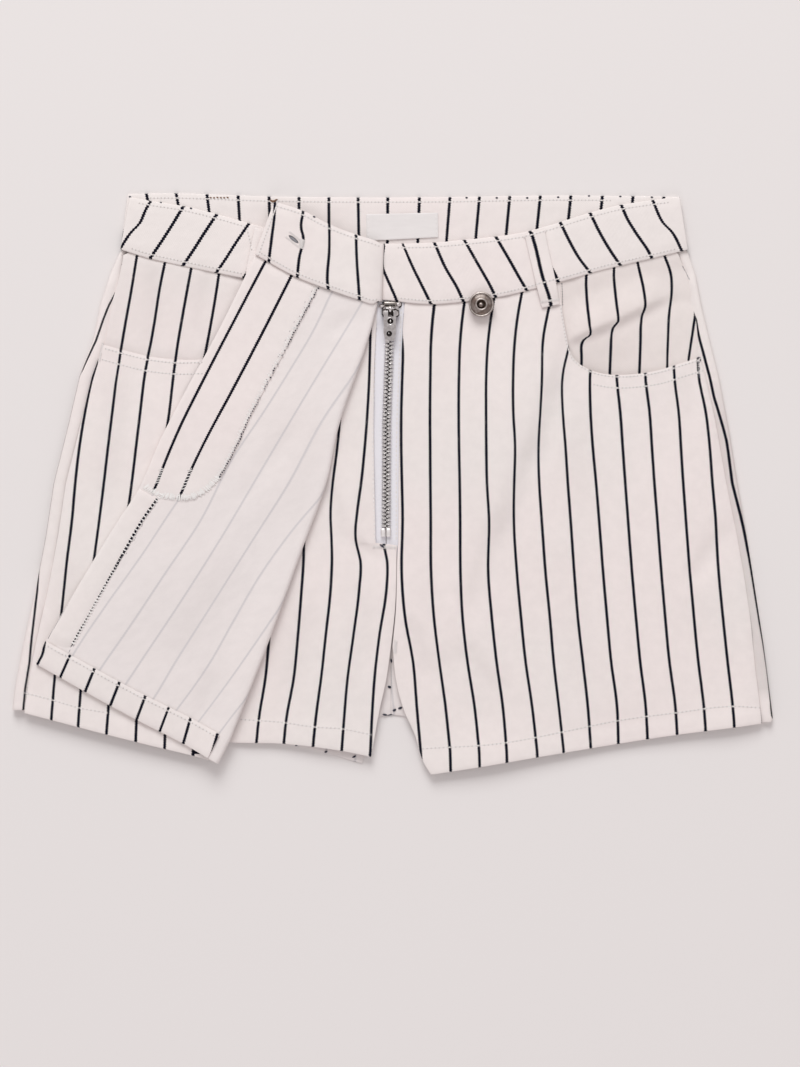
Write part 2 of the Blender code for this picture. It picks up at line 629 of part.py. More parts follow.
def make_pull(metal, collection):
    """The tab turns on its crossbar inside the bail; its origin is on that line."""
    half_outline = [(1.9, 0.55), (3.1, -0.3), (3.7, -1.6), (3.6, -9.0), (3.0, -13.6),
                    (2.3, -15.8), (1.2, -16.6)]
    edge_line = half_outline + [(-x, y) for x, y in half_outline[::-1]]
    slot = [(1.6, -0.5), (1.6, -3.3), (-1.6, -3.3), (-1.6, -0.5)]
    pull = outline_solid("zip_pull", [edge_line, slot, circle(0.0, -5.6, 1.1, 12),
                                      circle(0.0, -12.6, 1.3, 12)], 1.2, metal, collection)
    pull.location = (ZIP_X * MM, PIVOT_Y * MM, PIVOT_Z * MM)


# ---- button -------------------------------------------------------------------------------------
def make_button(metal, collection):
    """A turned tack button: a dished cap with a raised ring round a hollow, on its shank."""
    base = FRONT_Z + CLOTH + GAP
    profile = [(0.0, 8.9), (0.9, 8.7), (1.3, 7.9), (4.2, 7.7), (4.7, 8.9), (5.4, 9.3),
               (6.1, 8.9), (6.6, 8.3), (9.6, 8.5), (10.9, 8.8), (12.2, 8.3), (13.0, 7.2),
               (12.6, 6.2), (10.0, 5.5), (4.6, 5.4), (4.4, base), (0.0, base)]
    mesh = bpy.data.meshes.new("button")
    scale = 7.3 / 13.0
    points = [(x * scale * MM, 0.0, z * MM) for x, z in profile]
    mesh.from_pydata(points, [(i, i + 1) for i in range(len(points) - 1)], [])
    mesh.materials.append(metal)
    item = bpy.data.objects.new("button", mesh)
    item.location = (49.5 * MM, 100.1 * MM, 0.0)
    collection.objects.link(item)
    turn = item.modifiers.new("turned", "SCREW")
    turn.steps = 28
    turn.render_steps = 28
    turn.use_merge_vertices = True
    turn.merge_threshold = 0.00001
    turn.use_normal_calculate = False


def main():
    clear_scene()
    parts = bpy.data.collections.new("skort")
    cutters = bpy.data.collections.new("skort_cutters")
    bpy.context.scene.collection.children.link(parts)
    bpy.context.scene.collection.children.link(cutters)
    cloth = make_material("striped_twill", CREAM, 0.85, 0.0)
    tape = make_material("zip_tape", TAPE_WHITE, 0.8, 0.0)
    satin = make_material("label_satin", LABEL_WHITE, 0.6, 0.0)
    nickel = make_material("nickel", NICKEL, 0.3, 1.0)
    old_nickel = make_material("antique_nickel", OLD_NICKEL, 0.38, 1.0)

    make_backs(cloth, parts)
    make_bands(cloth, parts)
    make_facing_right(cloth, parts)
    make_facing_left(cloth, parts)
    make_front_right(cloth, parts)
    make_front_left(cloth, parts)
    upper = make_flap(cloth, parts)
    make_flap_strips(upper, cloth, parts)
    make_loops(cloth, parts)
    make_label(satin, parts)
    make_zip_tapes(tape, parts)
    make_zip_metal(nickel, parts)
    make_slider(nickel, parts, cutters)
    make_pull(nickel, parts)
    make_button(old_nickel, parts)


main()
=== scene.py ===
# %% [markdown]
# # A pinstriped wrap-front skort, laid flat
# The garment lies on its back with its flap folded open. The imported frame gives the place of
# every piece, in metres, +Z up and +Y towards the waist. Its plain solids are replaced here
# by thin shells of cloth that follow the same plans, with the cloth's stripes, creases,
# stitching and hardware. Lengths are in millimetres until a mesh is made.

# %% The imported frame
import math
import random
from collections import namedtuple

import bpy
import numpy as np
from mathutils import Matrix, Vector, noise
from mathutils.bvhtree import BVHTree


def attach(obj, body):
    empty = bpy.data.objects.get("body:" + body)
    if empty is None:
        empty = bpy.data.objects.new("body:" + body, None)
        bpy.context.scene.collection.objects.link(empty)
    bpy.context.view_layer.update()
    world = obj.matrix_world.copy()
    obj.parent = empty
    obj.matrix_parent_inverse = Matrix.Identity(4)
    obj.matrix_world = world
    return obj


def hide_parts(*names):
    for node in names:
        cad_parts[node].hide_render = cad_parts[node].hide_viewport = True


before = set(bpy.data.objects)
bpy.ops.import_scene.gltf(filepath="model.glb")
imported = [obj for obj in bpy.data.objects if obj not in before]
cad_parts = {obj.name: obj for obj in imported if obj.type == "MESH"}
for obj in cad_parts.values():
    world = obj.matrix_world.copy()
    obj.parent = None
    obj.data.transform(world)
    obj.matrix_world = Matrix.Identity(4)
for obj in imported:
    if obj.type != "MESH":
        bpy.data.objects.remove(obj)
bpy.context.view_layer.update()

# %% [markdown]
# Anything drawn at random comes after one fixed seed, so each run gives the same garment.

MM = 0.001
random.seed(7)
scene = bpy.context.scene
bpy.ops.object.select_all(action="DESELECT")

# %% [markdown]
# ## Camera, floor and light
# The garment is seen from straight above, so the camera hangs over it and looks down. Its
# lens is worked out from its height and from what the view takes in, so either can change.

# %% Camera
CAMERA_HEIGHT = 1.7
VIEW_LENGTH = 0.5975      # what the view's long side covers at the cloth
camera = bpy.data.cameras.new("camera")
camera.sensor_width = 36.0
camera.lens = 36.0 * (CAMERA_HEIGHT - 0.006) / VIEW_LENGTH
camera_holder = bpy.data.objects.new("camera", camera)
camera_holder.location = (0.0039, -0.028, CAMERA_HEIGHT)
scene.collection.objects.link(camera_holder)
scene.camera = camera_holder
print(f"camera: {camera.lens:.1f} mm lens, {CAMERA_HEIGHT} m up")

# %% [markdown]
# The floor is a plain pale sheet of card. Its own colour gives the background, so it also
# takes the garment's soft shadow. A white sky with no floor would lose that shadow.

# %% Floor
bpy.ops.mesh.primitive_plane_add(size=6.0, location=(0, 0, 0))
floor = bpy.context.object
floor.name = "floor"
floor_material = bpy.data.materials.new("card")
floor_material.use_nodes = True
floor_shader = floor_material.node_tree.nodes["Principled BSDF"]
floor_shader.inputs["Base Color"].default_value = (0.793, 0.757, 0.748, 1)
floor_shader.inputs["Roughness"].default_value = 0.9
floor_shader.inputs["Specular IOR Level"].default_value = 0.2
floor.data.materials.append(floor_material)
print("floor:", len(floor.data.polygons), "face")

# %% [markdown]
# One large soft lamp beyond the waist makes the short shadows under the hems. A second,
# weaker one and an even sky keep the rest bright. A sun lamp's shadows would be too hard.

# %% Lamps and sky
world = bpy.data.worlds.new("studio")
scene.world = world
world.use_nodes = True
world.node_tree.nodes["Background"].inputs["Color"].default_value = (1.0, 0.955, 0.955, 1)
world.node_tree.nodes["Background"].inputs["Strength"].default_value = 0.53


def add_lamp(name, place, size, power, tint=(1, 1, 1)):
    lamp = bpy.data.lights.new(name, "AREA")
    lamp.shape = "SQUARE"
    lamp.size = size
    lamp.energy = power
    lamp.color = tint
    holder = bpy.data.objects.new(name, lamp)
    holder.location = place
    holder.rotation_euler = (-Vector(place)).to_track_quat("-Z", "Y").to_euler()
    scene.collection.objects.link(holder)
    print(f"{name}: {power:.0f} W, {size} m wide")


add_lamp("window", (-0.5, 3.5, 2.5), 2.3, 132.0, (0.985, 1.0, 1.0))
add_lamp("bounce", (0.1, -2.6, 1.9), 1.8, 17.0, (1.0, 0.96, 0.98))
scene.view_settings.view_transform = "Standard"

# %% [markdown]
# ## The plan of the pieces
# These short tables give the outline of each piece as it lies, one row for each section.
# The points are listed one by one, and a smooth curve runs through each list of them.

# %% Outlines
CLOTH, BAND, GAP, JOIN = 1.0, 2.0, 0.3, 0.5
WALL = 0.8                 # the twill, a little thinner than its solid
FACING_Z = CLOTH + GAP
FRONT_Z = FACING_Z + CLOTH + GAP
FLAP_Z = FRONT_Z + CLOTH + GAP
UPPER_Z = FLAP_Z + CLOTH + GAP
BAND_Z = BAND + GAP
LOOP_Z = BAND_Z + BAND + GAP
UPPER_BAND_Z = 5.9
FINE = 5                   # cells here for each cell of the plain solid
FULLNESS = 1.6             # how far the legs' cloth stands up over the back
FOLD_LIFT = 2.0            # the flap isn't pressed: its fold stands up by this
FOLD_REACH = 14.0          # and comes down over this width

Side = namedtuple("Side", "y left right")
Station = namedtuple("Station", "top_x top_y low_x low_y")
Fold = namedtuple("Fold", "x0 y0 x1 y1 reach height")


def table(kind, *rows):
    """A list of rows whose columns have names."""
    return [kind(*row) for row in rows]


SIDES = table(Side, (131, -153, 165.2), (117, -159, 170), (100, -164.5, 173.2), (80, -168.5, 178),
              (60, -176, 183), (30, -183, 188.7), (0, -190.5, 193.5), (-30, -195, 198.8),
              (-60, -200.8, 203.4), (-90, -207.5, 208), (-115, -212.3, 211.2),
              (-134, -214.5, 213.6))
BACK_BAND = table(Station, (-149, 162.7, -152.9, 131.3), (-128, 163, -128, 129.3),
                  (-69, 161.2, -69, 129), (26, 160.8, 26, 129), (93, 161.8, 93, 129),
                  (160.7, 161, 165.2, 131))
RIGHT_BAND = table(Station, (-4.0, 134.7, -4.8, 102.8), (22.4, 135.2, 21.3, 100.5),
                   (40, 136.7, 43, 102.2), (57.7, 138.6, 62, 105), (73.4, 141, 80.6, 109.5),
                   (94, 146.8, 100.2, 114.8), (110.6, 152, 116, 119.3),
                   (127.1, 156.2, 132.2, 123.2), (143.9, 158.8, 147.8, 126.8),
                   (160.7, 161, 165.2, 131))
LEFT_BAND = table(Station, (-147.8, 160.6, -152.9, 131.3), (-135.5, 158.4, -138.9, 126.8),
                  (-117.6, 155.6, -123.8, 123.3), (-98.6, 151, -105.3, 119.4),
                  (-80.6, 145.9, -85.7, 115.4), (-52, 138.4, -54.3, 107.6),
                  (-26.9, 134.9, -27, 102.4), (-12, 134, -12, 100.4), (-4.6, 134.1, -5.6, 101.9))
UPPER_BAND = table(Station, (-4.6, 134.1, -5.6, 101.9), (-11, 136.4, -11, 100.3),
                   (-20.7, 139.4, -18.8, 102.6), (-35.6, 145, -36.4, 108.6),
                   (-50.4, 152.6, -53.8, 115.3), (-66.6, 157.8, -77.3, 128.2))
FLAP_FOLD = [(-8.4, 101.2), (-10.9, 91), (-14.6, 78), (-31, 29), (-35.8, 5), (-50.4, -36),
             (-70, -90), (-91, -143.6), (-97.8, -157)]
FLAP_FREE_EDGE = [(-77.8, 126.6), (-83, 115.6), (-97, 87), (-116.5, 51), (-135.5, 12),
                  (-143, -4.5), (-153, -19.5), (-194.6, -88.2), (-199.9, -101.1)]
FLAP_UPPER_HEM = [(-199.9, -101.1), (-186.5, -108.6), (-172, -116.8), (-145, -131.6),
                  (-116.5, -146.2)]
FLAP_LOWER_HEM = [(-206.8, -128.6), (-191.5, -132.6), (-160, -140.8), (-134, -147.3),
                  (-120, -150.6), (-108, -153.6)]
TURN_IN_FREE = [(-142.0, -3.0), (-152.8, -19.5), (-195.7, -90.6)]
TURN_IN_INNER = [(-131.5, -9), (-139, -20.5), (-150.5, -40), (-169, -71.5), (-182.6, -96.6)]
FACING_INNER = [(-42, 108.6), (-62.5, 70), (-80.4, 35.6), (-91, 13), (-96.5, 3.5),
                (-104, -4), (-112, -8.2), (-122, -8.6)]
FACING_END = (-139.9, -1.4)
SCOOP_RIGHT_DROP = [(94, 112.4), (95, 100), (97, 87), (99.2, 76)]
SCOOP_RIGHT_BOTTOM = [(99.2, 76), (101.5, 70.5), (107, 65.8), (114, 62.6), (123, 61),
                      (135, 61.2), (149, 63.3), (161, 67), (173.3, 70.8)]
SCOOP_LEFT_BOTTOM = [(-162.6, 77.8), (-152, 74.9), (-138, 71.4), (-122, 69.5), (-107, 69.6),
                     (-97, 72.4)]
SCOOP_LEFT_DROP = [(-97, 72.4), (-89, 81), (-83.5, 96), (-77, 112.8)]
FLY_EDGE = [(6.6, 101.2), (6.0, 94), (5.0, 78), (3.6, 36), (2.9, -33.4)]
CENTRE_SEAM = [(2.6, -37), (1.5, -72), (-0.3, -91)]
RIGHT_INNER_LEG = [(-0.3, -91), (1.7, -110.6), (6.2, -127.4), (12.3, -141), (17.4, -157),
                   (21.3, -163.2)]
RIGHT_HEM = [(21.3, -163.2), (31.9, -161.6), (63.3, -156.5), (95.5, -151), (126, -146),
             (159, -140.9), (191.5, -136.7), (206.4, -134.6)]
TAPE_EDGE = [(-8.9, 98.9), (-10.7, 60), (-10.9, 36), (-9.8, -33.4)]
LEFT_INNER_LEG = [(-1.2, -91.5), (-3.9, -110.6), (-7.3, -125.7), (-12.3, -153.2)]
LEFT_HEM = [(-210.6, -126), (-150, -137.5), (-91, -145.2), (-61, -146), (-45, -147.6),
            (-28.8, -149.9), (-12.3, -153.2)]
CHAIN_LINE = [(-1.7, 93.4), (-2.1, 78), (-3.6, 36), (-3.9, -25.2)]
print(f"folded width: {SIDES[0].right - SIDES[0].left:.0f} mm under the waistband,"
      f" {SIDES[-1].right - SIDES[-1].left:.0f} mm at the hem")

# %% [markdown]
# ## Curves, patches and heights
# A piece's plan is a patch between its four edges. Each edge is sampled at even steps along
# a smooth curve, so stripes and weave stay even over the piece. Filling an outline with
# triangles would be shorter, but a grid bends smoothly and can carry the weave.

# %% Curves and patches


def ease(start, end, value):
    """0 at start and 1 at end, with a soft start and finish."""
    part = np.clip((np.asarray(value, float) - start) / (end - start), 0.0, 1.0)
    return part * part * (3.0 - 2.0 * part)


def bell(value, width):
    """1 where the value is 0, falling off softly on both sides."""
    return np.exp(-(value / width) ** 2)


def fade(value, reach):
    """1 where the value is 0, dying away as it grows."""
    return np.exp(-value / reach)


def lengths(line):
    """How far along a line each of its points lies."""
    return np.r_[0.0, np.cumsum(np.linalg.norm(np.diff(line, axis=0), axis=1))]


def sample(points, cells):
    """Even steps along the smooth curve through the points."""
    points = np.array(points, float)
    reach = lengths(points)
    if len(points) > 2:
        slopes = np.gradient(points, reach, axis=0)
        dense = []
        for i in range(len(points) - 1):
            span = reach[i + 1] - reach[i]
            t = np.linspace(0.0, 1.0, 12, endpoint=False)[:, None]
            dense.append((2 * t**3 - 3 * t**2 + 1) * points[i]
                         + (t**3 - 2 * t**2 + t) * span * slopes[i]
                         + (3 * t**2 - 2 * t**3) * points[i + 1]
                         + (t**3 - t**2) * span * slopes[i + 1])
        points = np.vstack(dense + [points[-1:]])
        reach = lengths(points)
    steps = np.linspace(0.0, reach[-1], cells + 1)
    return np.stack([np.interp(steps, reach, points[:, axis])
                     for axis in range(points.shape[1])], axis=1)


def edge(*segments):
    """One edge of a panel from (points, cells) segments that meet at its corners."""
    runs = [sample(points, cells * FINE) for points, cells in segments]
    return np.vstack([runs[0]] + [run[1:] for run in runs[1:]])


def shares(line):
    """How far along a line each of its points lies, as a share of the whole."""
    return lengths(line) / lengths(line)[-1]


def courses(line):
    """The unit direction at each point of a line, and the one square to it on its right."""
    along = np.gradient(line, axis=0)
    along /= np.linalg.norm(along, axis=1)[:, None]
    return along, np.stack([along[:, 1], -along[:, 0]], axis=1)


def patch(top, bottom, left, right):
    """The plan between four edges, as rows from its top to its bottom."""
    u = ((shares(top) + shares(bottom)) / 2.0)[None, :, None]
    v = ((shares(left) + shares(right)) / 2.0)[:, None, None]
    across = (1 - v) * top[None] + v * bottom[None]
    down = (1 - u) * left[:, None] + u * right[:, None]
    corners = ((1 - u) * (1 - v) * top[0] + u * (1 - v) * top[-1]
               + (1 - u) * v * bottom[0] + u * v * bottom[-1])
    return across + down - corners


def tops(stations):
    """A waistband's top edge."""
    return [(row.top_x, row.top_y) for row in stations]


def lows(stations, above=0.0):
    """A waistband's lower edge, or the line that far above it."""
    return [(row.low_x, row.low_y + above) for row in stations]


def raised(plan, height):
    """A plan with a height at each of its points."""
    return np.dstack([plan, np.broadcast_to(height, plan.shape[:2])])


def refined(levels):
    """Levels with FINE cells for each of the given ones."""
    return np.interp(np.arange((len(levels) - 1) * FINE + 1) / FINE,
                     np.arange(len(levels)), levels)


def looked_up(value, rows):
    """The second column at a value of the first, which runs downwards."""
    return np.interp(value, *np.array(rows[::-1], float).T)


def side_left(y):
    return looked_up(y, [(row.y, row.left) for row in SIDES])


def side_right(y):
    return looked_up(y, [(row.y, row.right) for row in SIDES])


SEAM_LEFT = [(131, 1.8), (124, 4.0), (116, 5.6), (100, 6.2), (78, 7), (-134, 7)]
SEAM_RIGHT = [(131, 6.0), (115, 4.6), (93, 4.7), (80, 6.6), (71, 7.8), (50, 7), (0, 6.2),
              (-50, 5.0), (-77, 5.0), (-100, 6.2), (-134, 6.4)]


def seam_in(side, y):
    """How far in from the folded side the side seam lies."""
    return looked_up(y, SEAM_LEFT if side is side_left else SEAM_RIGHT)


def fullness(x, y):
    """How far the layers of the front stand up over the back, 0 at band and sides."""
    across = ease(0, 60, x - side_left(y)) * ease(0, 60, side_right(y) - x)
    down = ease(110, 40, y) * (1.0 - 0.6 * ease(-50, -150, y))
    at_zip = 0.7 * bell(x + 3.5, 20.0) * ease(-62, -34, y)
    return FULLNESS * across * down * (1.0 - at_zip)


# %% [markdown]
# Creases are written as folds: a ridge or a trough from one point to another, with its reach
# to each side and its height. They are soft, and they die out towards both ends. A cloth
# simulation makes creases of its own, but not in chosen places.

# %% Folds and heights


def relief(x, y, folds):
    """Soft ridges, or troughs where height is negative, between the ends of each fold."""
    total = np.zeros(np.shape(x))
    for fold in folds:
        along = np.array([fold.x1 - fold.x0, fold.y1 - fold.y0], float)
        length = np.hypot(*along)
        along /= length
        step = (x - fold.x0) * along[0] + (y - fold.y0) * along[1]
        off = (x - fold.x0) * along[1] - (y - fold.y0) * along[0]
        ends = ease(0, 0.3 * length, step) * ease(length, 0.7 * length, step)
        total = total + fold.height * ends * bell(off, fold.reach)
    return total


def crease_painted_shade(x, y, folds):
    """Painted shade: how much darker the cloth's colour is made in its troughs, by their depth."""
    return 0.045 * np.clip(-relief(x, y, folds), 0.0, 2.0)


def flap_fold_x(y):
    """Where the flap's fold lies at a height up the garment."""
    return looked_up(y, [(fold_y, fold_x) for fold_x, fold_y in FLAP_FOLD])


def upper_height(x, y):
    """Middle of the flap's upper run, which stands up towards its fold and the band."""
    off_fold = np.maximum(flap_fold_x(y) - x, 0.0)
    lift = FOLD_LIFT * bell(off_fold, FOLD_REACH) * (1.0 - 0.75 * ease(70, 100, y))
    to_band = 0.5 * ease(60, 104, y)
    return UPPER_Z + CLOTH / 2 + fullness(x, y) + lift + to_band


def lower_height(x, y):
    """Middle of the flap's lower run."""
    return FLAP_Z + CLOTH / 2 + fullness(x, y)


def uneven(plan, size, seed):
    """Slow, smooth noise from -1 to 1 over a plan, so that no cloth lies dead flat."""
    flat = plan.reshape(-1, plan.shape[-1])
    values = [noise.noise(Vector((p[0] / size, p[1] / size, seed))) for p in flat]
    return np.array(values).reshape(plan.shape[:2])


def edge_distances(plan):
    """Distance of each point from the plan's top, bottom, left and right edges."""
    down = np.linalg.norm(np.diff(plan, axis=0), axis=2)
    over = np.linalg.norm(np.diff(plan, axis=1), axis=2)
    top = np.vstack([np.zeros((1, plan.shape[1])), np.cumsum(down, axis=0)])
    left = np.hstack([np.zeros((plan.shape[0], 1)), np.cumsum(over, axis=1)])
    return top, top[-1:] - top, left, left[:, -1:] - left


def laid_out(top, bottom, left, right):
    """The plan between four edges, its X and Y, and the distances from those edges."""
    plan = patch(top, bottom, left, right)
    return plan, plan[..., 0], plan[..., 1], *edge_distances(plan)


# %% [markdown]
# Sewing shapes cloth too. A hem twists into slanting ripples, a seam puckers, and what is
# sewn to a band dips to pass under its edge.

# %% Hems and seams


def hem_relief(plan, below, width, seed):
    """The turned-up hem: a thicker stretch with the slanting ripples that a hem twists into."""
    x = plan[..., 0]
    turned = ease(width + 1.2, width - 0.8, below)
    stitch = -0.22 * bell(below - width, 1.3)
    roped = 0.13 * np.sin((x + 0.8 * below) / 1.3 + 2.0 * uneven(plan, 25.0, seed))
    bulge = np.clip(below / width, 0, 1) * np.clip(1.6 - 1.6 * below / width, 0, 1)
    return 0.38 * turned + stitch + roped * bulge * turned


def tucked(above, depth):
    """How far a piece's first millimetres dip to pass under the band's edge."""
    return depth * ease(3.8, 2.3, above)


def seam_pucker(plan, off, seed, depth=0.3, reach=7.0):
    """Short ripples square to a seam, which die away from it."""
    ripples = uneven(plan, 5.0, seed) + 0.6 * uneven(plan, 11.0, seed + 3.0)
    return depth * ripples * fade(off, reach)


# %% [markdown]
# ## Where the stripes run
# The cloth is woven with a navy stripe about every 16 mm. Each table holds a piece's stripes
# in order across it, and each stripe is a line of points. A point's place between two
# stripes becomes its weave coordinate, so the stripe is drawn exactly along its line and
# bends with the cloth. Straight stripes would be shorter to write, but they would cut across
# the folds and seams that woven stripes follow.

# %% Counting the stripes
PITCH = 16.4


def stripe_field(stripes, pitch=PITCH):
    """A function of x and y that counts the stripes: it is 0 on the first of them."""
    lines = []
    for points in stripes:
        line = sample(points, 40)
        lines.append(line[np.argsort(line[:, 1])])

    def field(x, y):
        x, y = np.broadcast_arrays(np.asarray(x, float), np.asarray(y, float))
        places = []
        for line in lines:
            lean = (line[-1, 0] - line[0, 0]) / max(line[-1, 1] - line[0, 1], 1e-6)
            place = np.interp(y, line[:, 1], line[:, 0])
            place = place + lean * (np.maximum(y - line[-1, 1], 0)
                                    + np.minimum(y - line[0, 1], 0))
            places.append(place)
        places = np.maximum.accumulate(np.array(places), axis=0)
        value = (x - places[0]) / pitch
        for i in range(len(places) - 1):
            gap = np.maximum(places[i + 1] - places[i], 0.5)
            inside = x >= places[i]
            value = np.where(inside, i + np.minimum((x - places[i]) / gap, 1.0), value)
        beyond = x >= places[-1]
        return np.where(beyond, len(places) - 1 + (x - places[-1]) / pitch, value)

    return field


# %% [markdown]
# On the fronts, the left pocket and the flap's lower run the stripes go nearly straight up,
# so each of these tables has one row of heights and a row of places for each stripe.

# %% Stripes that run straight


def at_heights(heights, *columns):
    """Stripes that are given at shared heights, one column of x for each stripe."""
    return [list(zip(column, heights)) for column in columns]


RIGHT_FRONT_STRIPES = at_heights(
    (110, 100, 80, 60, 40, 20, 0, -20, -50, -75, -100, -125, -150),
    (6.2, 5.6, 4.6, 5.2, 4.6, 4.6, 5.0, 5.4, 4.8, 6.7, 11.3, 13.3, 15.5),
    (24.6, 23.2, 21.3, 20.9, 20.7, 20.8, 20.9, 21.1, 21.3, 22.9, 25.9, 29.4, 32.0),
    (41.3, 39.8, 37.7, 37.0, 36.8, 37.0, 37.4, 37.6, 37.8, 38.9, 41.7, 45.7, 48.3),
    (57.8, 56.0, 53.3, 52.2, 52.1, 52.2, 52.6, 53.9, 53.3, 55.3, 58.0, 61.5, 63.6),
    (72.8, 70.8, 68.2, 67.2, 67.3, 68.5, 67.9, 67.6, 69.4, 71.7, 74.3, 78.0, 80.8),
    (90.2, 87.8, 84.0, 83.7, 82.6, 81.4, 81.8, 83.2, 85.4, 87.9, 90.0, 92.9, 95.6),
    (105.0, 103.0, 99.5, 94.8, 95.0, 96.6, 97.9, 99.4, 101.5, 103.5, 106.4, 109.2, 111.0),
    (118.0, 116.0, 112.0, 110.4, 110.6, 111.9, 113.8, 115.4, 117.7, 119.9, 122.2, 125.6, 126.4),
    (129.0, 128.0, 126.0, 125.3, 127.3, 128.7, 130.1, 131.6, 133.9, 136.1, 138.5, 141.6, 143.0),
    (144.0, 143.0, 141.8, 141.4, 143.8, 145.1, 146.4, 148.0, 150.3, 152.5, 154.9, 158.3, 159.7),
    (159.0, 158.0, 157.5, 157.8, 160.2, 161.4, 162.6, 164.0, 166.3, 168.6, 171.1, 174.2, 175.8),
    (172.5, 172.0, 171.0, 171.3, 175.3, 177.6, 179.1, 180.9, 182.5, 184.9, 187.6, 190.4, 192.0),
)
# the first stripe runs beside the fly's edge and comes into sight only lower down
RIGHT_FRONT_STRIPES[0][:3] = [(4.4, 110), (4.2, 100), (4.1, 88), (4.8, 82), (5.4, 77)]
LEFT_FRONT_STRIPES = at_heights(
    (100, 50, 20, 0, -15, -33, -42, -60, -85, -110, -130, -150),
    (-55.0, -59.0, -61.0, -63.0, -64.0, -66.0, -66.5, -67.5, -69.4, -71.7, -75.0, -77.0),
    (-40.0, -44.0, -46.0, -48.0, -49.0, -50.0, -50.1, -51.3, -53.3, -55.8, -59.6, -61.7),
    (-26.5, -28.8, -31.3, -33.9, -35.1, -34.3, -34.2, -35.0, -37.7, -40.4, -43.1, -45.1),
    (-12.4, -13.8, -15.9, -17.9, -20.0, -21.0, -18.3, -19.0, -22.1, -25.6, -27.3, -28.8),
    (3.6, 2.2, 0.1, -1.9, -4.0, -5.5, -3.5, -3.8, -7.7, -10.5, -11.8, -12.7),
)
LEFT_POCKET_STRIPES = at_heights(
    (127, 110, 90, 75, 65),
    (-159.0, -161.5, -165.0, -168.0, -169.5),
    (-143.8, -146.5, -150.1, -152.6, -154.2),
    (-127.2, -130.8, -133.9, -136.6, -138.9),
    (-112.0, -115.2, -118.8, -121.2, -122.4),
    (-96.4, -98.7, -102.0, -104.8, -106.6),
)
FLAP_LOWER_STRIPES = at_heights(
    (80, 60, 40, 20, 0, -20, -45, -70, -95, -120, -150),
    (-179.0, -183.5, -188.0, -191.5, -194.0, -196.0, -198.0, -200.5, -203.0, -206.4, -210.5),
    (-161.6, -167.1, -172.5, -175.7, -178.0, -179.7, -182.9, -185.6, -188.3, -190.5, -192.5),
    (-151.7, -154.9, -157.4, -159.8, -162.1, -164.5, -167.8, -170.5, -173.2, -175.3, -177.4),
    (-135.5, -139.2, -141.5, -143.9, -146.3, -149.0, -151.8, -154.6, -157.2, -159.0, -161.3),
    (-120.5, -123.0, -125.2, -128.2, -131.0, -134.0, -137.0, -139.6, -141.7, -143.2, -144.3),
    (-103.8, -107.5, -110.0, -112.5, -115.0, -118.0, -121.0, -123.5, -125.6, -127.0, -128.0),
    (-90.0, -93.0, -95.5, -98.0, -101.0, -103.5, -106.0, -108.0, -109.5, -111.0, -112.0),
)
FLAP_LOWER_STRIPES[1][:2] = [(-166.6, 80), (-165.6, 68), (-168.2, 60)]
print(len(RIGHT_FRONT_STRIPES), "stripes on the right front,", len(LEFT_FRONT_STRIPES),
      "on the left")

# %% [markdown]
# The folded-back run, its edge strips, the bands and the pocket's fold turn their stripes, so
# each stripe is a line of its own.

# %% Stripes that turn
FLAP_WRONG_STRIPES = [
    [(-53, 105), (-74, 68), (-92, 38), (-108, 8), (-122, -12), (-141.6, -41.5),
     (-162.6, -70.9), (-179.4, -96.1), (-186.5, -109)],
    [(-35.2, 105.5), (-43.6, 87.3), (-57.6, 63.5), (-71.6, 41.1), (-91.2, 11.7),
     (-106.6, -19.1), (-127.6, -50.6), (-148.6, -82.1), (-163.3, -103.1), (-172.4, -116.8)],
    [(-17, 102), (-24, 90), (-39.4, 64.9), (-60.4, 29.9), (-78.6, -0.9), (-92.6, -24.7),
     (-116.4, -62.5), (-141.6, -100.3), (-150, -112.9), (-158.2, -124.3)],
    [(-4, 92), (-19.8, 64.2), (-39.4, 35.5), (-59, -0.9), (-75.8, -27.5), (-102.4, -69.5),
     (-122, -100.3), (-134.6, -121.3), (-143.8, -133.2)],
    [(-22, 20), (-37.3, -3.7), (-56.2, -26.1), (-74.4, -51.3), (-89.8, -77.9), (-102.4, -100.3),
     (-121.3, -126.9), (-130.4, -138.4)],
    [(-30, -22), (-60.4, -65.3), (-78.6, -91.9), (-99.6, -121.3), (-108.7, -133.2),
     (-117.2, -144.7)],
]
FLAP_HEM_STRIPES = [
    [(-195.2, -89.3), (-196, -95.3), (-199, -100.8)], [(-180.9, -96.5), (-186.5, -109)],
    [(-167, -103.5), (-172.4, -116.8)], [(-153.1, -111.3), (-158.2, -124.3)],
    [(-138.9, -120), (-143.8, -133.2)], [(-125.9, -126.5), (-130.4, -138.4)],
    [(-113.8, -132.7), (-117.2, -144.7)], [(-98.2, -140.6), (-101.8, -153)],
]
FACING_STRIPES = [
    [(-71.6, 124), (-86.6, 95.6), (-104.9, 60.3), (-120.8, 27.9), (-128.2, 10.1),
     (-132.3, -0.6)],
    [(-56.9, 116), (-70.5, 89), (-90.2, 51.3), (-105.9, 22), (-113.4, 6.4), (-118.2, -5)],
]
TURN_IN_STRIPES = [[(-130.0, -6), (-140.2, -20.5), (-151.4, -40), (-168.9, -72),
                    (-179.4, -91), (-181.6, -97)]]
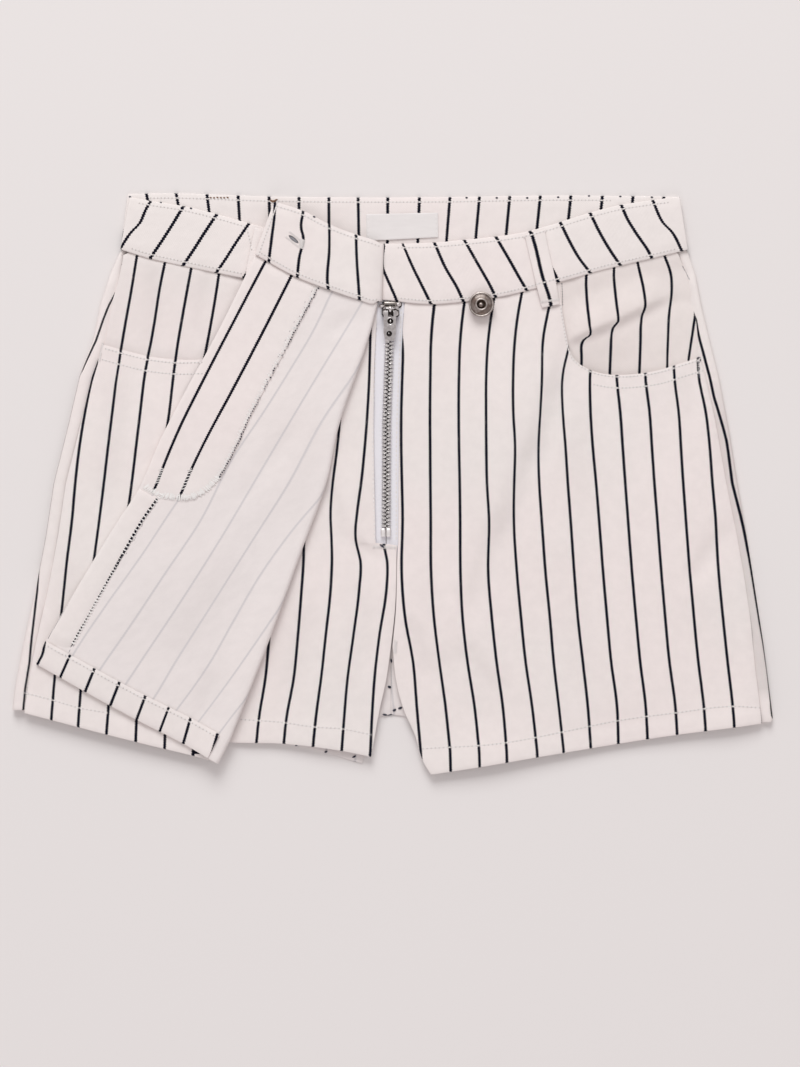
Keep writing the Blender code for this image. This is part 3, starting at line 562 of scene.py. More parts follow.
RIGHT_BAND_STRIPES = [
    [(-4.6, 133.4), (-6.2, 122.4), (-5.3, 119.2), (-4.3, 117), (2, 102.7)],
    [(5.3, 134), (10.5, 122.4), (17.9, 107.4), (21.2, 100.7)],
    [(23.5, 134.4), (29.1, 121.4), (35.7, 110.1), (40, 100.8)],
    [(40.3, 135.8), (46.9, 124.2), (54.3, 111.1), (57.8, 104)],
    [(57.8, 138), (65.5, 124.7), (70.2, 116.3), (75.2, 107.8)],
    [(76.5, 142), (84, 128), (90.3, 118.2), (92.8, 112.5)],
    [(93.8, 146.4), (99.1, 135.4), (103.8, 127), (111, 117.5)],
    [(110.5, 151.7), (115.9, 140.5), (124.8, 126), (127.7, 122)],
    [(128.2, 155.9), (130.8, 149.4), (135.5, 141.4), (143.9, 128.8), (145.1, 126.3)],
    [(145.8, 158.7), (147.7, 153.6), (151.4, 146.1), (156.1, 141.4), (162, 130.3)],
]
LEFT_BAND_STRIPES = [
    [(-136.1, 158.3), (-138.9, 153.2), (-142.2, 145.7), (-146.4, 141.5), (-153.2, 131.5)],
    [(-117.7, 155.3), (-124, 144.8), (-128.7, 137.3), (-136.4, 126)],
    [(-99.1, 150.6), (-107.2, 138.3), (-111.9, 130.8), (-117.6, 122.5)],
    [(-80.8, 145.6), (-89.4, 132.7), (-94.1, 125.2), (-98.9, 118.3)],
]
UPPER_BAND_STRIPES = [
    [(-66.1, 157), (-66.6, 147), (-67.8, 138.2), (-69.5, 124)],
    [(-50.2, 152.7), (-51.3, 142), (-50.2, 138.7), (-52.5, 126), (-53.6, 115)],
    [(-35.7, 145), (-35.7, 130), (-36.7, 113), (-36.2, 108.4)],
    [(-20.8, 138.6), (-20.6, 131), (-19.4, 112), (-18.7, 102)],
    [(-4.0, 134), (-4.6, 126), (-5.0, 122), (-3.4, 117), (-2.8, 104)],
]
BACK_BAND_STRIPES = [
    [(-138.7, 164), (-136, 150), (-135, 129)], [(-122.1, 164.4), (-120.7, 157), (-118, 129)],
    [(-104.7, 164), (-103.3, 153), (-102, 129)], [(-87.1, 164), (-86.2, 148), (-85.5, 129)],
    [(-69.7, 163.4), (-69.2, 147.6), (-69, 129)], [(-52.8, 162), (-52.8, 129)],
    [(-36, 160.6), (-36, 129)], [(-19.6, 160.2), (-19.2, 139.6), (-19, 129)],
    [(-3, 160.2), (-3.3, 129)], [(14.8, 160), (13.7, 129)], [(31.9, 160), (29.4, 129)],
    [(48.4, 160), (45.6, 129)], [(65.4, 160), (62.5, 129)], [(82.5, 160), (79.3, 129)],
    [(99.6, 160), (96.5, 129)], [(117.5, 161), (114, 129)], [(134.7, 161), (131, 129)],
    [(152, 161), (148, 129)],
]
RIGHT_POCKET_STRIPES = [
    [(108.2, 112), (109, 100), (110.3, 88), (110.9, 83.6), (110.2, 82.4), (107, 80.9),
     (106.3, 79.6), (105.8, 70), (105.4, 50)],
    [(123.8, 116), (125.4, 100), (126.4, 92), (126.4, 90.6), (123.6, 88), (123.1, 86.6),
     (122.2, 75), (121.3, 50)],
    [(137, 124), (140.6, 108), (141.4, 99.5), (141.2, 97.8), (139.8, 95), (139.2, 91),
     (138.9, 80), (137.8, 50)],
    [(152, 128), (155.8, 118), (156.4, 108), (154.9, 95), (154.3, 80), (153.8, 50)],
    [(171, 128), (171, 112), (169.6, 103), (169.6, 96), (168.4, 87.4), (165.6, 68.4),
     (164.3, 55)],
]
LOOP_STRIPES = [[(77.5, 140.2), (79.5, 133.5), (83.7, 115.8), (87.9, 102.7), (88.9, 98)]]
# how far in from the folded side the stripe on the back's turned strip lies
LEFT_STRIP_STRIPE = [(131, 9), (112, 8.6), (108, 6.5), (92, 3.6), (79, 1.9), (58, 0.4),
                     (44, -1.6), (0, -2.6), (-30, -1.6), (-46, 0.2), (-64, 1.9), (-100, 5.6),
                     (-134, 6.4)]
RIGHT_STRIP_STRIPE = [(131, 14), (112, 10), (100, 7), (93, 5), (83, 5.7), (64, 5.5), (48, 5.1),
                      (40, 4.1), (23, 2.6), (0, 3.2), (-20, 1.7), (-44, 0.9), (-106, 0.5),
                      (-124, 0.6), (-134, 0.9)]
print(len(BACK_BAND_STRIPES), "stripes on the back waistband,", len(FLAP_WRONG_STRIPES),
      "on the flap's wrong side")

# %% [markdown]
# ## Materials
# A small class lets shader maths read like plain maths. Each operator adds one Math node.

# %% Shader maths


class Shade:
    """A value in a material's node tree that can be added, multiplied and compared."""

    def __init__(self, tree, socket=None):
        self.tree = tree
        self.socket = socket

    def node(self, kind, inputs, output=0, **settings):
        made = self.tree.nodes.new(kind)
        for key, value in settings.items():
            setattr(made, key, value)
        for key, value in inputs.items():
            if isinstance(value, Shade):
                self.tree.links.new(value.socket, made.inputs[key])
            else:
                made.inputs[key].default_value = value
        return Shade(self.tree, made.outputs[output])

    def maths(self, operation, first, second=0.0):
        return self.node("ShaderNodeMath", {0: first, 1: second}, operation=operation)

    def __add__(self, other):
        return self.maths("ADD", self, other)

    def __sub__(self, other):
        return self.maths("SUBTRACT", self, other)

    def __rsub__(self, other):
        return self.maths("SUBTRACT", other, self)

    def __mul__(self, other):
        return self.maths("MULTIPLY", self, other)

    def __truediv__(self, other):
        return self.maths("DIVIDE", self, other)

    __radd__ = __add__
    __rmul__ = __mul__

    def step(self, start, end):
        """0 at start and 1 at end, smooth between them."""
        return self.node("ShaderNodeMapRange", {"Value": self, "From Min": start, "From Max": end},
                         interpolation_type="SMOOTHSTEP")

    def place(self):
        """The point on the piece, in metres."""
        return self.node("ShaderNodeTexCoord", {}, output=3)

    def weave(self):
        """The point's place in the weave, in metres."""
        return self.node("ShaderNodeUVMap", {}, uv_map="weave")

    def parts(self):
        """The three parts of a vector."""
        split = self.node("ShaderNodeSeparateXYZ", {0: self})
        return [Shade(self.tree, socket) for socket in split.socket.node.outputs]

    def wave(self, length):
        """A sine of the value, one wave for each length."""
        return self.maths("SINE", self * (2 * math.pi / length))

    def noise(self, scale, detail=2.0, roughness=0.5):
        return self.node("ShaderNodeTexNoise", {"Vector": self, "Scale": scale,
                                                "Detail": detail, "Roughness": roughness})

    def blend(self, first, second):
        """first where this is 0 and second where it is 1."""
        return self.node("ShaderNodeMix", {0: self, 6: first, 7: second}, output=2,
                         data_type="RGBA")


def start_material(name, roughness, metallic=0.0):
    """A material, its shader and the start of a Shade expression."""
    material = bpy.data.materials.new(name)
    material.use_nodes = True
    tree = material.node_tree
    shader = tree.nodes["Principled BSDF"]
    shader.inputs["Roughness"].default_value = roughness
    shader.inputs["Metallic"].default_value = metallic
    print("material", name)
    return material, shader, Shade(tree)


def plug(value, shader, name):
    value.tree.links.new(value.socket, shader.inputs[name])


def bumped(height, shader, strength, distance):
    plug(height.node("ShaderNodeBump", {"Height": height, "Strength": strength,
                                        "Distance": distance}), shader, "Normal")


# %% [markdown]
# The cloth is a cotton twill. The navy stripe is a band of warp threads, so its edges break
# up where white weft crosses them. On the wrong side the stripe hardly shows, as a faint
# grey line. The weave reads its place from the piece's own weave map, in metres across and
# along the stripes. An image of cloth would blur close up, and maths stays sharp.

# %% Twill
WHITE = (0.828, 0.772, 0.75, 1)
WHITE_WARM = (0.845, 0.768, 0.75, 1)
NAVY = (0.004, 0.0045, 0.012, 1)
STRIPE = 0.00083           # half a stripe's width, and the softness of its edge
STRIPE_EDGE = 0.0001


def make_twill(name, cloth, warm, stripe, half_width, soft, beads=0.00022, hole=None):
    material, shader, start = start_material(name, 0.88)
    shader.inputs["Specular IOR Level"].default_value = 0.1
    weave = start.weave()
    across, along, _ = weave.parts()
    place = start.place()

    turns = across / (PITCH * MM) + 0.5
    off = turns.maths("ABSOLUTE", turns.maths("FRACT", turns) - 0.5) * (PITCH * MM)
    threads = along.maths("SINE", along * (2 * math.pi / 0.00132)
                          + across * (2 * math.pi / 0.0021))
    fray = weave.noise(800.0, 3.0, 0.6)
    wobble = (fray - 0.5) * 0.0004 + threads * beads
    inside = (off + wobble).step(half_width + soft, half_width - soft)
    missed = weave.noise(420.0, 2.0, 0.5).step(0.66, 0.74)
    inside = inside * (1.0 - missed * 0.15)

    tint = place.noise(9.0, 2.0, 0.5).step(0.35, 0.65)
    ground = tint.blend(cloth, warm)
    slub = weave.noise(160.0, 4.0, 0.65).step(0.2, 0.8)
    twill = (along + across).wave(0.0009)
    # The shade attribute makes the cloth's colour darker where it is set: painted shade in creases,
    # under folds and beside edges.
    painted_shade_amount = start.node("ShaderNodeAttribute", {}, output=2, attribute_name="shade")
    shade = (0.965 + slub * 0.05 + twill * 0.012) * (1.0 - painted_shade_amount)
    ground = ground.node("ShaderNodeVectorMath", {0: ground, "Scale": shade}, operation="SCALE")
    plug(inside.blend(ground, stripe), shader, "Base Color")
    bumped(twill * 0.5 + slub * 0.8 + weave.noise(1200.0, 2.0, 0.6) * 0.5, shader, 0.35, 0.00012)
    if hole is not None:
        right, up, _ = place.parts()
        x, y, lean, long, wide = hole
        run = (right - x) * math.cos(lean) + (up - y) * math.sin(lean)
        side = (up - y) * math.cos(lean) - (right - x) * math.sin(lean)
        oval = run * run * (1 / long**2) + side * side * (1 / wide**2)
        plug(oval.step(0.8, 1.2), shader, "Alpha")
    return material


twill = make_twill("striped_twill", WHITE, WHITE_WARM, NAVY, STRIPE, STRIPE_EDGE)
slim_twill = make_twill("striped_twill_turned", WHITE, WHITE_WARM, NAVY, 0.0006, STRIPE_EDGE)
wrong_twill = make_twill("twill_wrong_side", (0.815, 0.758, 0.745, 1), (0.84, 0.775, 0.758, 1),
                         (0.65, 0.615, 0.62, 1), 0.00055, 0.00045, 0.0001)
# A darker, warmer copy of the twill for the right pocket's facing: painted shade, where it lies deep
# in the pocket.
facing_twill_painted_shade = make_twill("striped_twill_facing_painted_shade", (0.80, 0.735, 0.71, 1), (0.81, 0.735, 0.71, 1),
                          NAVY, STRIPE, STRIPE_EDGE)

# %% [markdown]
# Thread, tape and label each have their own fine structure: a twist, a herringbone and a
# close satin rib.

# %% Thread, tape and satin


def make_thread(name, colour):
    material, shader, start = start_material(name, 0.7)
    place = start.place()
    fleck = place.noise(2600.0, 2.0, 0.6).step(0.3, 0.7)
    dark = tuple(channel * 0.86 for channel in colour[:3]) + (1,)
    plug(fleck.blend(dark, colour), shader, "Base Color")
    bumped(fleck, shader, 0.4, 0.0001)
    return material


white_thread = make_thread("white_thread", (0.84, 0.80, 0.785, 1))
overlock_thread = make_thread("overlock_thread", (0.93, 0.905, 0.885, 1))
navy_thread = make_thread("navy_thread", (0.022, 0.024, 0.045, 1))
grey_thread = make_thread("grey_thread", (0.30, 0.29, 0.31, 1))
# A greyed thread colour for the discs between stitches: painted shade of the needle holes.
hole_shade_thread = make_thread("thread_painted_as_hole_shade", (0.65, 0.595, 0.575, 1))
brown_thread = make_thread("brown_thread", (0.21, 0.105, 0.055, 1))


def make_tape():
    material, shader, start = start_material("zip_tape", 0.8)
    weave = start.weave()
    across, along, _ = weave.parts()
    bones = (along + across.maths("PINGPONG", across, 0.0012)).wave(0.0008).step(-1.0, 1.0)
    speck = weave.noise(900.0, 3.0, 0.6)
    plug((bones * 0.35 + speck * 0.65).blend((0.76, 0.745, 0.785, 1), (0.85, 0.83, 0.865, 1)),
         shader, "Base Color")
    bumped(bones, shader, 0.4, 0.00015)
    return material


def make_satin():
    material, shader, start = start_material("label_satin", 0.45)
    shader.inputs["Sheen Weight"].default_value = 0.1
    weave = start.weave()
    ribs = weave.parts()[1].wave(0.0006).step(-1.0, 1.0)
    speck = weave.noise(500.0, 3.0, 0.5)
    plug((ribs * 0.3 + speck * 0.7).blend((0.74, 0.70, 0.69, 1), (0.83, 0.795, 0.785, 1)),
         shader, "Base Color")
    bumped(ribs, shader, 0.3, 0.0001)
    return material


zip_tape = make_tape()
satin = make_satin()

# %% [markdown]
# The zip is bright nickel, brushed and slightly worn. Its slider and pull tab are darker, and
# the slider's cap darker still, as painted dark reflections; its bottom stop is lighter, as a
# painted bright reflection; and near-black nickel is painted shade. The button is antique
# nickel: its low places stay dark brown and its raised rings are rubbed bright.

# %% Nickel


def make_nickel(name, dull, bright, rough):
    material, shader, start = start_material(name, rough, 1.0)
    place = start.place()
    tarnish = place.noise(420.0, 3.0, 0.6).step(0.35, 0.7)
    plug(tarnish.blend(dull, bright), shader, "Base Color")
    scratches = place.noise(1500.0, 2.0, 0.7)
    plug(scratches * 0.2 + (rough - 0.1), shader, "Roughness")
    bumped(scratches, shader, 0.15, 0.00005)
    return material


BUTTON_X, BUTTON_Y = 49.4, 100.2


def make_antique():
    material, shader, start = start_material("antique_nickel", 0.4, 1.0)
    place = start.place()
    right, up, high = place.parts()
    right, up = right - BUTTON_X * MM, up - BUTTON_Y * MM
    square = right * right + up * up
    away = square.maths("SQRT", square)
    speck = place.noise(900.0, 3.0, 0.6).step(0.3, 0.7)
    blot = place.noise(260.0, 2.0, 0.5).step(0.42, 0.62)
    dark = speck.blend((0.06, 0.038, 0.028, 1), (0.16, 0.115, 0.09, 1))
    face = speck.blend((0.27, 0.222, 0.20, 1), (0.43, 0.372, 0.345, 1))
    face = (blot * 0.7).blend(face, (0.15, 0.10, 0.08, 1))
    worn = speck.blend((0.40, 0.35, 0.325, 1), (0.66, 0.60, 0.565, 1))
    in_hollow = away.step(0.00272, 0.00255) * high.step(0.0080, 0.0076)
    raised_edge = high.step(0.00895, 0.0091) + high.step(0.00835, 0.0085) * away.step(0.0058, 0.0060)
    colour = in_hollow.blend(raised_edge.blend(face, worn), dark)
    plug(colour, shader, "Base Color")
    plug(0.36 + in_hollow * 0.2 + speck * 0.1, shader, "Roughness")
    bumped(speck, shader, 0.2, 0.00008)
    return material


nickel = make_nickel("nickel", (0.80, 0.775, 0.765, 1), (0.95, 0.93, 0.92, 1), 0.24)
# A lighter, rougher copy of the nickel for the bottom stop: its lighter colour is a painted bright
# reflection.
bright_nickel = make_nickel("nickel_bright", (0.90, 0.86, 0.85, 1), (0.98, 0.95, 0.94, 1), 0.55)
# These two copies are darker than the plain nickel only as painted dark reflections: the first for
# the slider and pull tab, the second for the slider's cap.
dark_reflection_nickel = make_nickel("nickel_painted_dark_reflection", (0.60, 0.565, 0.56, 1), (0.80, 0.765, 0.76, 1), 0.24)
darker_reflection_nickel = make_nickel("nickel_painted_darker_reflection", (0.36, 0.325, 0.30, 1), (0.52, 0.48, 0.45, 1), 0.36)
# Near-black nickel: painted shade, for the cord under the teeth, round the slider and in the pull
# tab's holes.
painted_shade_nickel = make_nickel("nickel_painted_shade", (0.022, 0.019, 0.018, 1), (0.05, 0.043, 0.04, 1), 0.5)
antique = make_antique()

# %% [markdown]
# ## Sewing one piece
# Every cut piece is a thin shell on a grid of points. Its weave map holds the stripe
# coordinate across and the length along. Edges are rounded a little, as a folded edge is.
# Solidify gives the shell its wall, so only one face has to be laid out.

# %% A shell of cloth
made_cloth = []


def pick(*items):
    """Selects the items alone and makes the first one active."""
    bpy.ops.object.select_all(action="DESELECT")
    for item in items:
        item.select_set(True)
    bpy.context.view_layer.objects.active = items[0]


def cloth(node, grid, across, lean=0.0, wall=WALL, offset=-1.0, slot="striped_twill",
          materials=(twill, wrong_twill), rounding=0.22, shade=None):
    """A shell on a grid of points in mm, in place of a plain solid. across is the stripe
    coordinate of each point, or a function that gives it. lean is how far the stripes turn
    from +Y, in degrees, and shade is painted shade: how much darker each point's colour is
    made, deep in a crease."""
    name = "cloth_" + node
    if callable(across):
        across = across(grid[..., 0], grid[..., 1])
    rows, columns = grid.shape[:2]
    mesh = bpy.data.meshes.new(name)
    corners = [(r * columns + c, (r + 1) * columns + c, (r + 1) * columns + c + 1,
                r * columns + c + 1)
               for r in range(rows - 1) for c in range(columns - 1)]
    mesh.from_pydata((grid.reshape(-1, 3) * MM).tolist(), [], corners)
    turn = math.radians(lean)
    along = grid[..., 0] * math.sin(turn) + grid[..., 1] * math.cos(turn)
    weave = np.stack([across * PITCH * MM, along * MM], axis=2).reshape(-1, 2)
    loops = np.array([index for corner in corners for index in corner])
    layer = mesh.uv_layers.new(name="weave")
    layer.data.foreach_set("uv", weave[loops].astype(np.float32).ravel())
    if shade is not None:
        dull = mesh.attributes.new("shade", "FLOAT", "POINT")
        dull.data.foreach_set("value", np.ascontiguousarray(shade, np.float32).ravel())
    for material in materials:
        mesh.materials.append(material)
    item = bpy.data.objects.new(name, mesh)
    scene.collection.objects.link(item)
    solid = item.modifiers.new("wall", "SOLIDIFY")
    solid.thickness = wall * MM
    solid.offset = offset
    solid.use_even_offset = False
    solid.material_offset = len(materials) - 1
    solid.material_offset_rim = 0
    if rounding:
        bevel = item.modifiers.new("edge", "BEVEL")
        bevel.width = rounding * MM
        bevel.segments = 2
        bevel.limit_method = "ANGLE"
        bevel.angle_limit = math.radians(60)
    pick(item)
    for modifier in list(item.modifiers):
        bpy.ops.object.modifier_apply(modifier=modifier.name)
    bpy.ops.object.shade_smooth_by_angle(angle=math.radians(50))
    item.select_set(False)
    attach(item, "garment")
    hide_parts(node)
    made_cloth.append(item)
    wide = np.linalg.norm(np.diff(grid, axis=1), axis=2).sum(axis=1).max()
    long = np.linalg.norm(np.diff(grid, axis=0), axis=2).sum(axis=0).max()
    a, b, c = grid[:-1, :-1], grid[1:, :-1], grid[:-1, 1:]
    d = grid[1:, 1:]
    area = (np.linalg.norm(np.cross(b - a, c - a), axis=2).sum()
            + np.linalg.norm(np.cross(b - d, c - d), axis=2).sum()) / 2
    item["cut"] = [wide * MM, long * MM, min(area * MM * MM, wide * long * MM * MM)]
    print(f"{name}: {wide:.0f} x {long:.0f} mm, {area / 100:.0f} square cm,"
          f" {len(item.data.polygons)} faces")
    return item


# %% [markdown]
# ## The back
# Each half of the back lies flat on the floor, then turns up round the side and in over the
# front as far as the side seam, so a narrow strip of it shows all the way down. It is made
# first because everything else lies on it.

# %% The two halves of the back


def make_back(name, side, lip_z, drops, centre_edge, hem, strip_stripe):
    """Half of the back: its flat part, the roll round the side and the strip that shows."""
    sign = 1 if side is side_right else -1
    levels = [centre_edge[0][1]] + [row.y for row in SIDES[1:-1]] + [hem[-1][1]]
    y_rows = refined(levels)
    low = CLOTH / 2
    high = np.full(len(y_rows), lip_z + CLOTH / 2)
    for drop, start, end in drops:
        high -= drop * ease(start, end, y_rows)
    radius = (high - low) / 2
    outer = np.stack([side(y_rows) - sign * (radius + CLOTH / 2), y_rows], axis=1)
    inner = edge((centre_edge[:2], 8), (centre_edge[1:], 3))
    top = edge(([centre_edge[0], tuple(outer[0])], 8))
    bottom = edge((hem[:-1] + [tuple(outer[-1])], 8))
    plan = patch(top, bottom, inner, outer)
    below = edge_distances(plan)[1]
    flat = raised(plan, CLOTH / 2 + 0.25 * hem_relief(plan, below, 11.0, 5.0).clip(0))
    ripple = 0.5 * seam_pucker(outer[:, None], np.zeros((len(y_rows), 1)), 9.0)[:, 0]
    columns = []
    to_band = 2.6 * np.clip(1.0 - np.arange(len(y_rows)) / FINE, 0, 1)
    to_hem = 2.2 * (sign > 0) * np.clip(1.0 - np.arange(len(y_rows))[::-1] / 1.5, 0, 1)
    # the roll round the side, from its underside to its top
    for turn in (-60, -30, 0, 30, 60, 90):
        angle = math.radians(turn)
        y = y_rows + to_band * ease(0, 60, turn) + to_hem * (1 - ease(20, 90, abs(turn)))
        x = side(y) - sign * (radius + CLOTH / 2) + sign * radius * math.cos(angle)
        columns.append(np.stack([x, y, low + radius + radius * math.sin(angle)], axis=1))
    # the strip that lies on top, in to the side seam, where it dips under the front
    for share in (0.3, 0.55, 0.8, 1.0):
        start = radius + CLOTH / 2
        seam = seam_in(side, y)
        inward = start + (seam + 1.1 - start) * share
        dip = -1.25 * ease(-2.0, 1.0, inward - seam) + ripple * share
        columns.append(np.stack([side(y) - sign * inward, y, high + dip], axis=1))
    grid = np.concatenate([flat, np.stack(columns, axis=1)], axis=1)
    arc = np.concatenate([np.zeros((len(y_rows), 1)),
                          np.cumsum(np.linalg.norm(np.diff(grid, axis=1), axis=2), axis=1)],
                         axis=1)
    in_from_side = looked_up(y_rows, strip_stripe)
    across = np.empty(arc.shape)
    upper = slice(-8, None)      # the columns from the side's middle to the seam
    for r in range(len(y_rows)):
        from_side = sign * (side(y_rows[r]) - grid[r, upper, 0])
        stripe_at = (np.interp(in_from_side[r], from_side, arc[r, upper])
                     + max(in_from_side[r] - from_side[-1], 0.0))
        spread = PITCH * np.interp(y_rows[r], [-134, 131], [1.03, 0.96])
        across[r] = (arc[r] - stripe_at) / spread
    dull = np.zeros(arc.shape)
    # The right half's strip and the top of its roll are painted darker over most of their length:
    # painted shade beside the seam.
    if sign > 0:
        dull[:, -7:] = (0.16 * ease(-121, -116, y_rows) * ease(70, 30, y_rows))[:, None]
        grid, across, dull = grid[:, ::-1], across[:, ::-1], dull[:, ::-1]
    return cloth(name, grid, across, offset=0.0, shade=dull,
                 materials=(twill if sign > 0 else slim_twill, wrong_twill))


left_centre = [(-1.2, 128.2), (-1.2, -129.6), (-9, -131.5), (-13, -142), (-17.4, -157.1)]
left_hem = [(-17.4, -157.1), (-38, -151), (-55, -147), (-100, -143), (-160, -135.5),
            (-213, -127)]
right_centre = [(-1.15, 128.2), (-1.15, -129.6), (8, -131.5), (14, -142), (20.5, -159)]
right_hem = [(20.5, -159), (63, -153.5), (126, -143.5), (180, -137), (212, -133.8)]
back_left = make_back("back_left", side_left, FLAP_Z, [(0.8, 70, 84), (1.1, 108, 126)],
                      left_centre, left_hem, LEFT_STRIP_STRIPE)
back_right = make_back("back_right", side_right, FRONT_Z, [(0.6, 113.5, 117.5)],
                       right_centre, right_hem, RIGHT_STRIP_STRIPE)

# %% [markdown]
# ## Waistbands
# A waistband is two layers of cloth with the raw edges inside, so it is thicker than the rest
# and slightly pillowed between its two rows of topstitching. The one on the left goes on past
# the centre front and is folded back over itself with the flap.

# %% The back and right waistbands


def band_plan(stations, cells, rows=14):
    """A waistband's plan and how far down it each row lies, from 0 to 1."""
    top = sample(tops(stations), cells * FINE)
    low = sample(lows(stations), cells * FINE)
    steps = np.linspace(0.0, 1.0, rows + 1)[:, None, None]
    return top[None] * (1 - steps) + low[None] * steps, steps[:, :, 0]


def band_relief(plan, seed, rows_in=(2.4, 2.1)):
    """Rounded edges, two sunk rows of stitching and the pucker along them."""
    top, low, _, _ = edge_distances(plan)
    pillow = -0.45 * (fade(top, 0.9) + fade(low, 0.9))
    stitched = -0.28 * (bell(top - rows_in[0], 0.9)
                        + bell(low - rows_in[1], 0.9))
    ripples = seam_pucker(plan, low, seed, 0.35) + seam_pucker(plan, top, seed + 1, 0.25)
    return pillow + stitched + ripples + 0.18 * uneven(plan, 22.0, seed)


both_faces = (twill,)
plan, steps = band_plan(BACK_BAND, 26)
height = np.maximum(BAND + 0.25 + band_relief(plan, 11.0) * (1 - 0.6 * steps), 1.75)
back_band = cloth("waistband_back", raised(plan, height),
                  stripe_field(BACK_BAND_STRIPES, pitch=17.0), wall=1.7, materials=both_faces,
                  rounding=0.5)

under_fold = Station(-5.8, 134.5, -6.6, 103.0)
plan, steps = band_plan([under_fold] + RIGHT_BAND[1:], 14)
height = BAND_Z + 0.7 * steps + BAND + band_relief(plan, 12.0)
right_band = cloth("waistband_right", raised(plan, height),
                   stripe_field(RIGHT_BAND_STRIPES, pitch=17.0), lean=-27, wall=1.2,
                   materials=both_faces, rounding=0.5)

# %% [markdown]
# Where a sheet is folded back, its stripes have to run on round the fold. The weave
# coordinate is carried round the roll, and the hidden cloth beside it takes up the rest.

# %% The left waistband
HOLE_X, HOLE_Y, HOLE_LEAN, HOLE_HALF = -55.6, 136.6, math.radians(-39), 3.4
band_twill = make_twill("striped_twill_buttonhole", WHITE, WHITE_WARM, NAVY, STRIPE, STRIPE_EDGE,
                        hole=(HOLE_X * MM, HOLE_Y * MM, HOLE_LEAN, HOLE_HALF * MM, 1.0 * MM))


def make_left_band():
    """The lower run, the roll at the centre front and the end that is folded back."""
    low_plan, steps = band_plan(LEFT_BAND, 14)
    up_plan, _ = band_plan(UPPER_BAND, 8)
    lower = raised(low_plan, BAND_Z + BAND / 2 + 0.8 * steps + band_relief(low_plan, 13.0))
    relief_up = band_relief(up_plan, 14.0)
    settled = 1.2 * ease(-42, -12, up_plan[..., 0]) * (1.0 - steps)
    upper = raised(up_plan, UPPER_BAND_Z + BAND / 2 + 1.1 * steps - settled + relief_up)
    radius = (upper[:, 0, 2] - lower[:, -1, 2]) / 2
    middle_z = (upper[:, 0, 2] + lower[:, -1, 2]) / 2
    fold = lower[:, -1].copy()
    shift = radius + BAND / 2
    low_end, up_start = fold.copy(), upper[:, 0].copy()
    low_end[:, 0] -= shift
    up_start[:, 0] -= shift
    keep_low = (lower[:, :, 0] < low_end[:, :1] - 0.8).all(axis=0)
    keep_up = (upper[:, :, 0] < up_start[:, :1] - 0.8).all(axis=0)
    turns = []
    for angle in (-60, -30, 0, 30, 60):
        turn = low_end.copy()
        turn[:, 0] += radius * math.cos(math.radians(angle))
        turn[:, 2] = middle_z + radius * math.sin(math.radians(angle))
        turns.append(turn)
    lower, upper = lower[:, keep_low], upper[:, keep_up]
    field_low = stripe_field(LEFT_BAND_STRIPES, pitch=17.0)
    field_up = stripe_field(UPPER_BAND_STRIPES, pitch=16.0)
    whole = 12.0
    at_fold = whole - field_up(up_start[:, 0] + shift, up_start[:, 1])
    across_low = field_low(lower[..., 0], lower[..., 1])
    hidden = ease(-64, -20, lower[..., 0])
    across_low = across_low * (1 - hidden) + hidden * (at_fold - 0.2)[:, None]
    across_up = whole - field_up(upper[..., 0], upper[..., 1])
    spread = np.linspace(-0.2, 0.2, len(turns) + 2)
    roll = at_fold[:, None] + spread[None]
    grid = np.concatenate([lower, low_end[:, None], np.stack(turns, axis=1),
                           up_start[:, None], upper], axis=1)
    across = np.concatenate([across_low, roll, across_up], axis=1)
    # Painted shade, darker towards the fold at the centre front.
    dull = 0.07 * ease(-20, -5, grid[..., 0])
    return cloth("waistband_left", grid, across, wall=1.2, offset=0.0, shade=dull,
                 materials=(twill, band_twill), rounding=0.45)


left_band = make_left_band()

# %% [markdown]
# ## Pocket facings
# The cloth behind each pocket opening. The right one has a soft fold across it where the
# pocket is pushed up from below, and its stripes step sideways over the fold.

# %% The right pocket facing


def seam_edge(side, y_rows, inset=None):
    """A piece's edge along a side seam, or at another distance in from the side."""
    sign = 1 if side is side_right else -1
    inset = seam_in(side, y_rows) + JOIN / 2 if inset is None else inset
    return np.stack([side(y_rows) - sign * inset, y_rows], axis=1)


top = edge(([(87, 112.8), (100.2, 116.8), (116, 121.3), (132.2, 125.2), (157, 130.8)], 8))
right = seam_edge(side_right, np.linspace(130.8, 56, 9 * FINE - 4))
right[0] = top[-1]
left = edge(([(87, 112.8), (89, 50)], 8))
bottom = edge(([(89, 50), tuple(right[-1])], 8))
plan, x, y, above, _, _, _ = laid_out(top, bottom, left, right)
crest = np.interp(x, [100, 108, 124, 141, 160], [79, 82.5, 89, 97, 106])
inside = ease(97, 106, x) * ease(66, 84, y)
above_crest = y - crest
bulge = (2.3 * bell(np.maximum(above_crest - 3.5, 0), 12.0)
         * ease(-1.5, 3.0, above_crest) * ease(162, 140, x))
hollow = -0.5 * bell(above_crest + 4.0, 3.0)
height = (FACING_Z + CLOTH + inside * 0.3 + ease(97, 104, x) * (bulge + hollow)
          + 1.0 * ease(14, 3, above) + 0.3 * uneven(plan, 9.0, 33.0))
# Painted shade below the fold's crest, on its left part.
facing_right = cloth("pocket_facing_right", raised(plan, height),
                     stripe_field(RIGHT_POCKET_STRIPES, pitch=16.0),
                     shade=0.07 * ease(3, -5, above_crest) * ease(150, 110, x),
                     materials=(facing_twill_painted_shade, wrong_twill))

# %% [markdown]
# The left facing has two soft hollows. Shade is painted on it: a little all over, more along
# the pocket's mouth, where it lies deepest, and in the hollows.

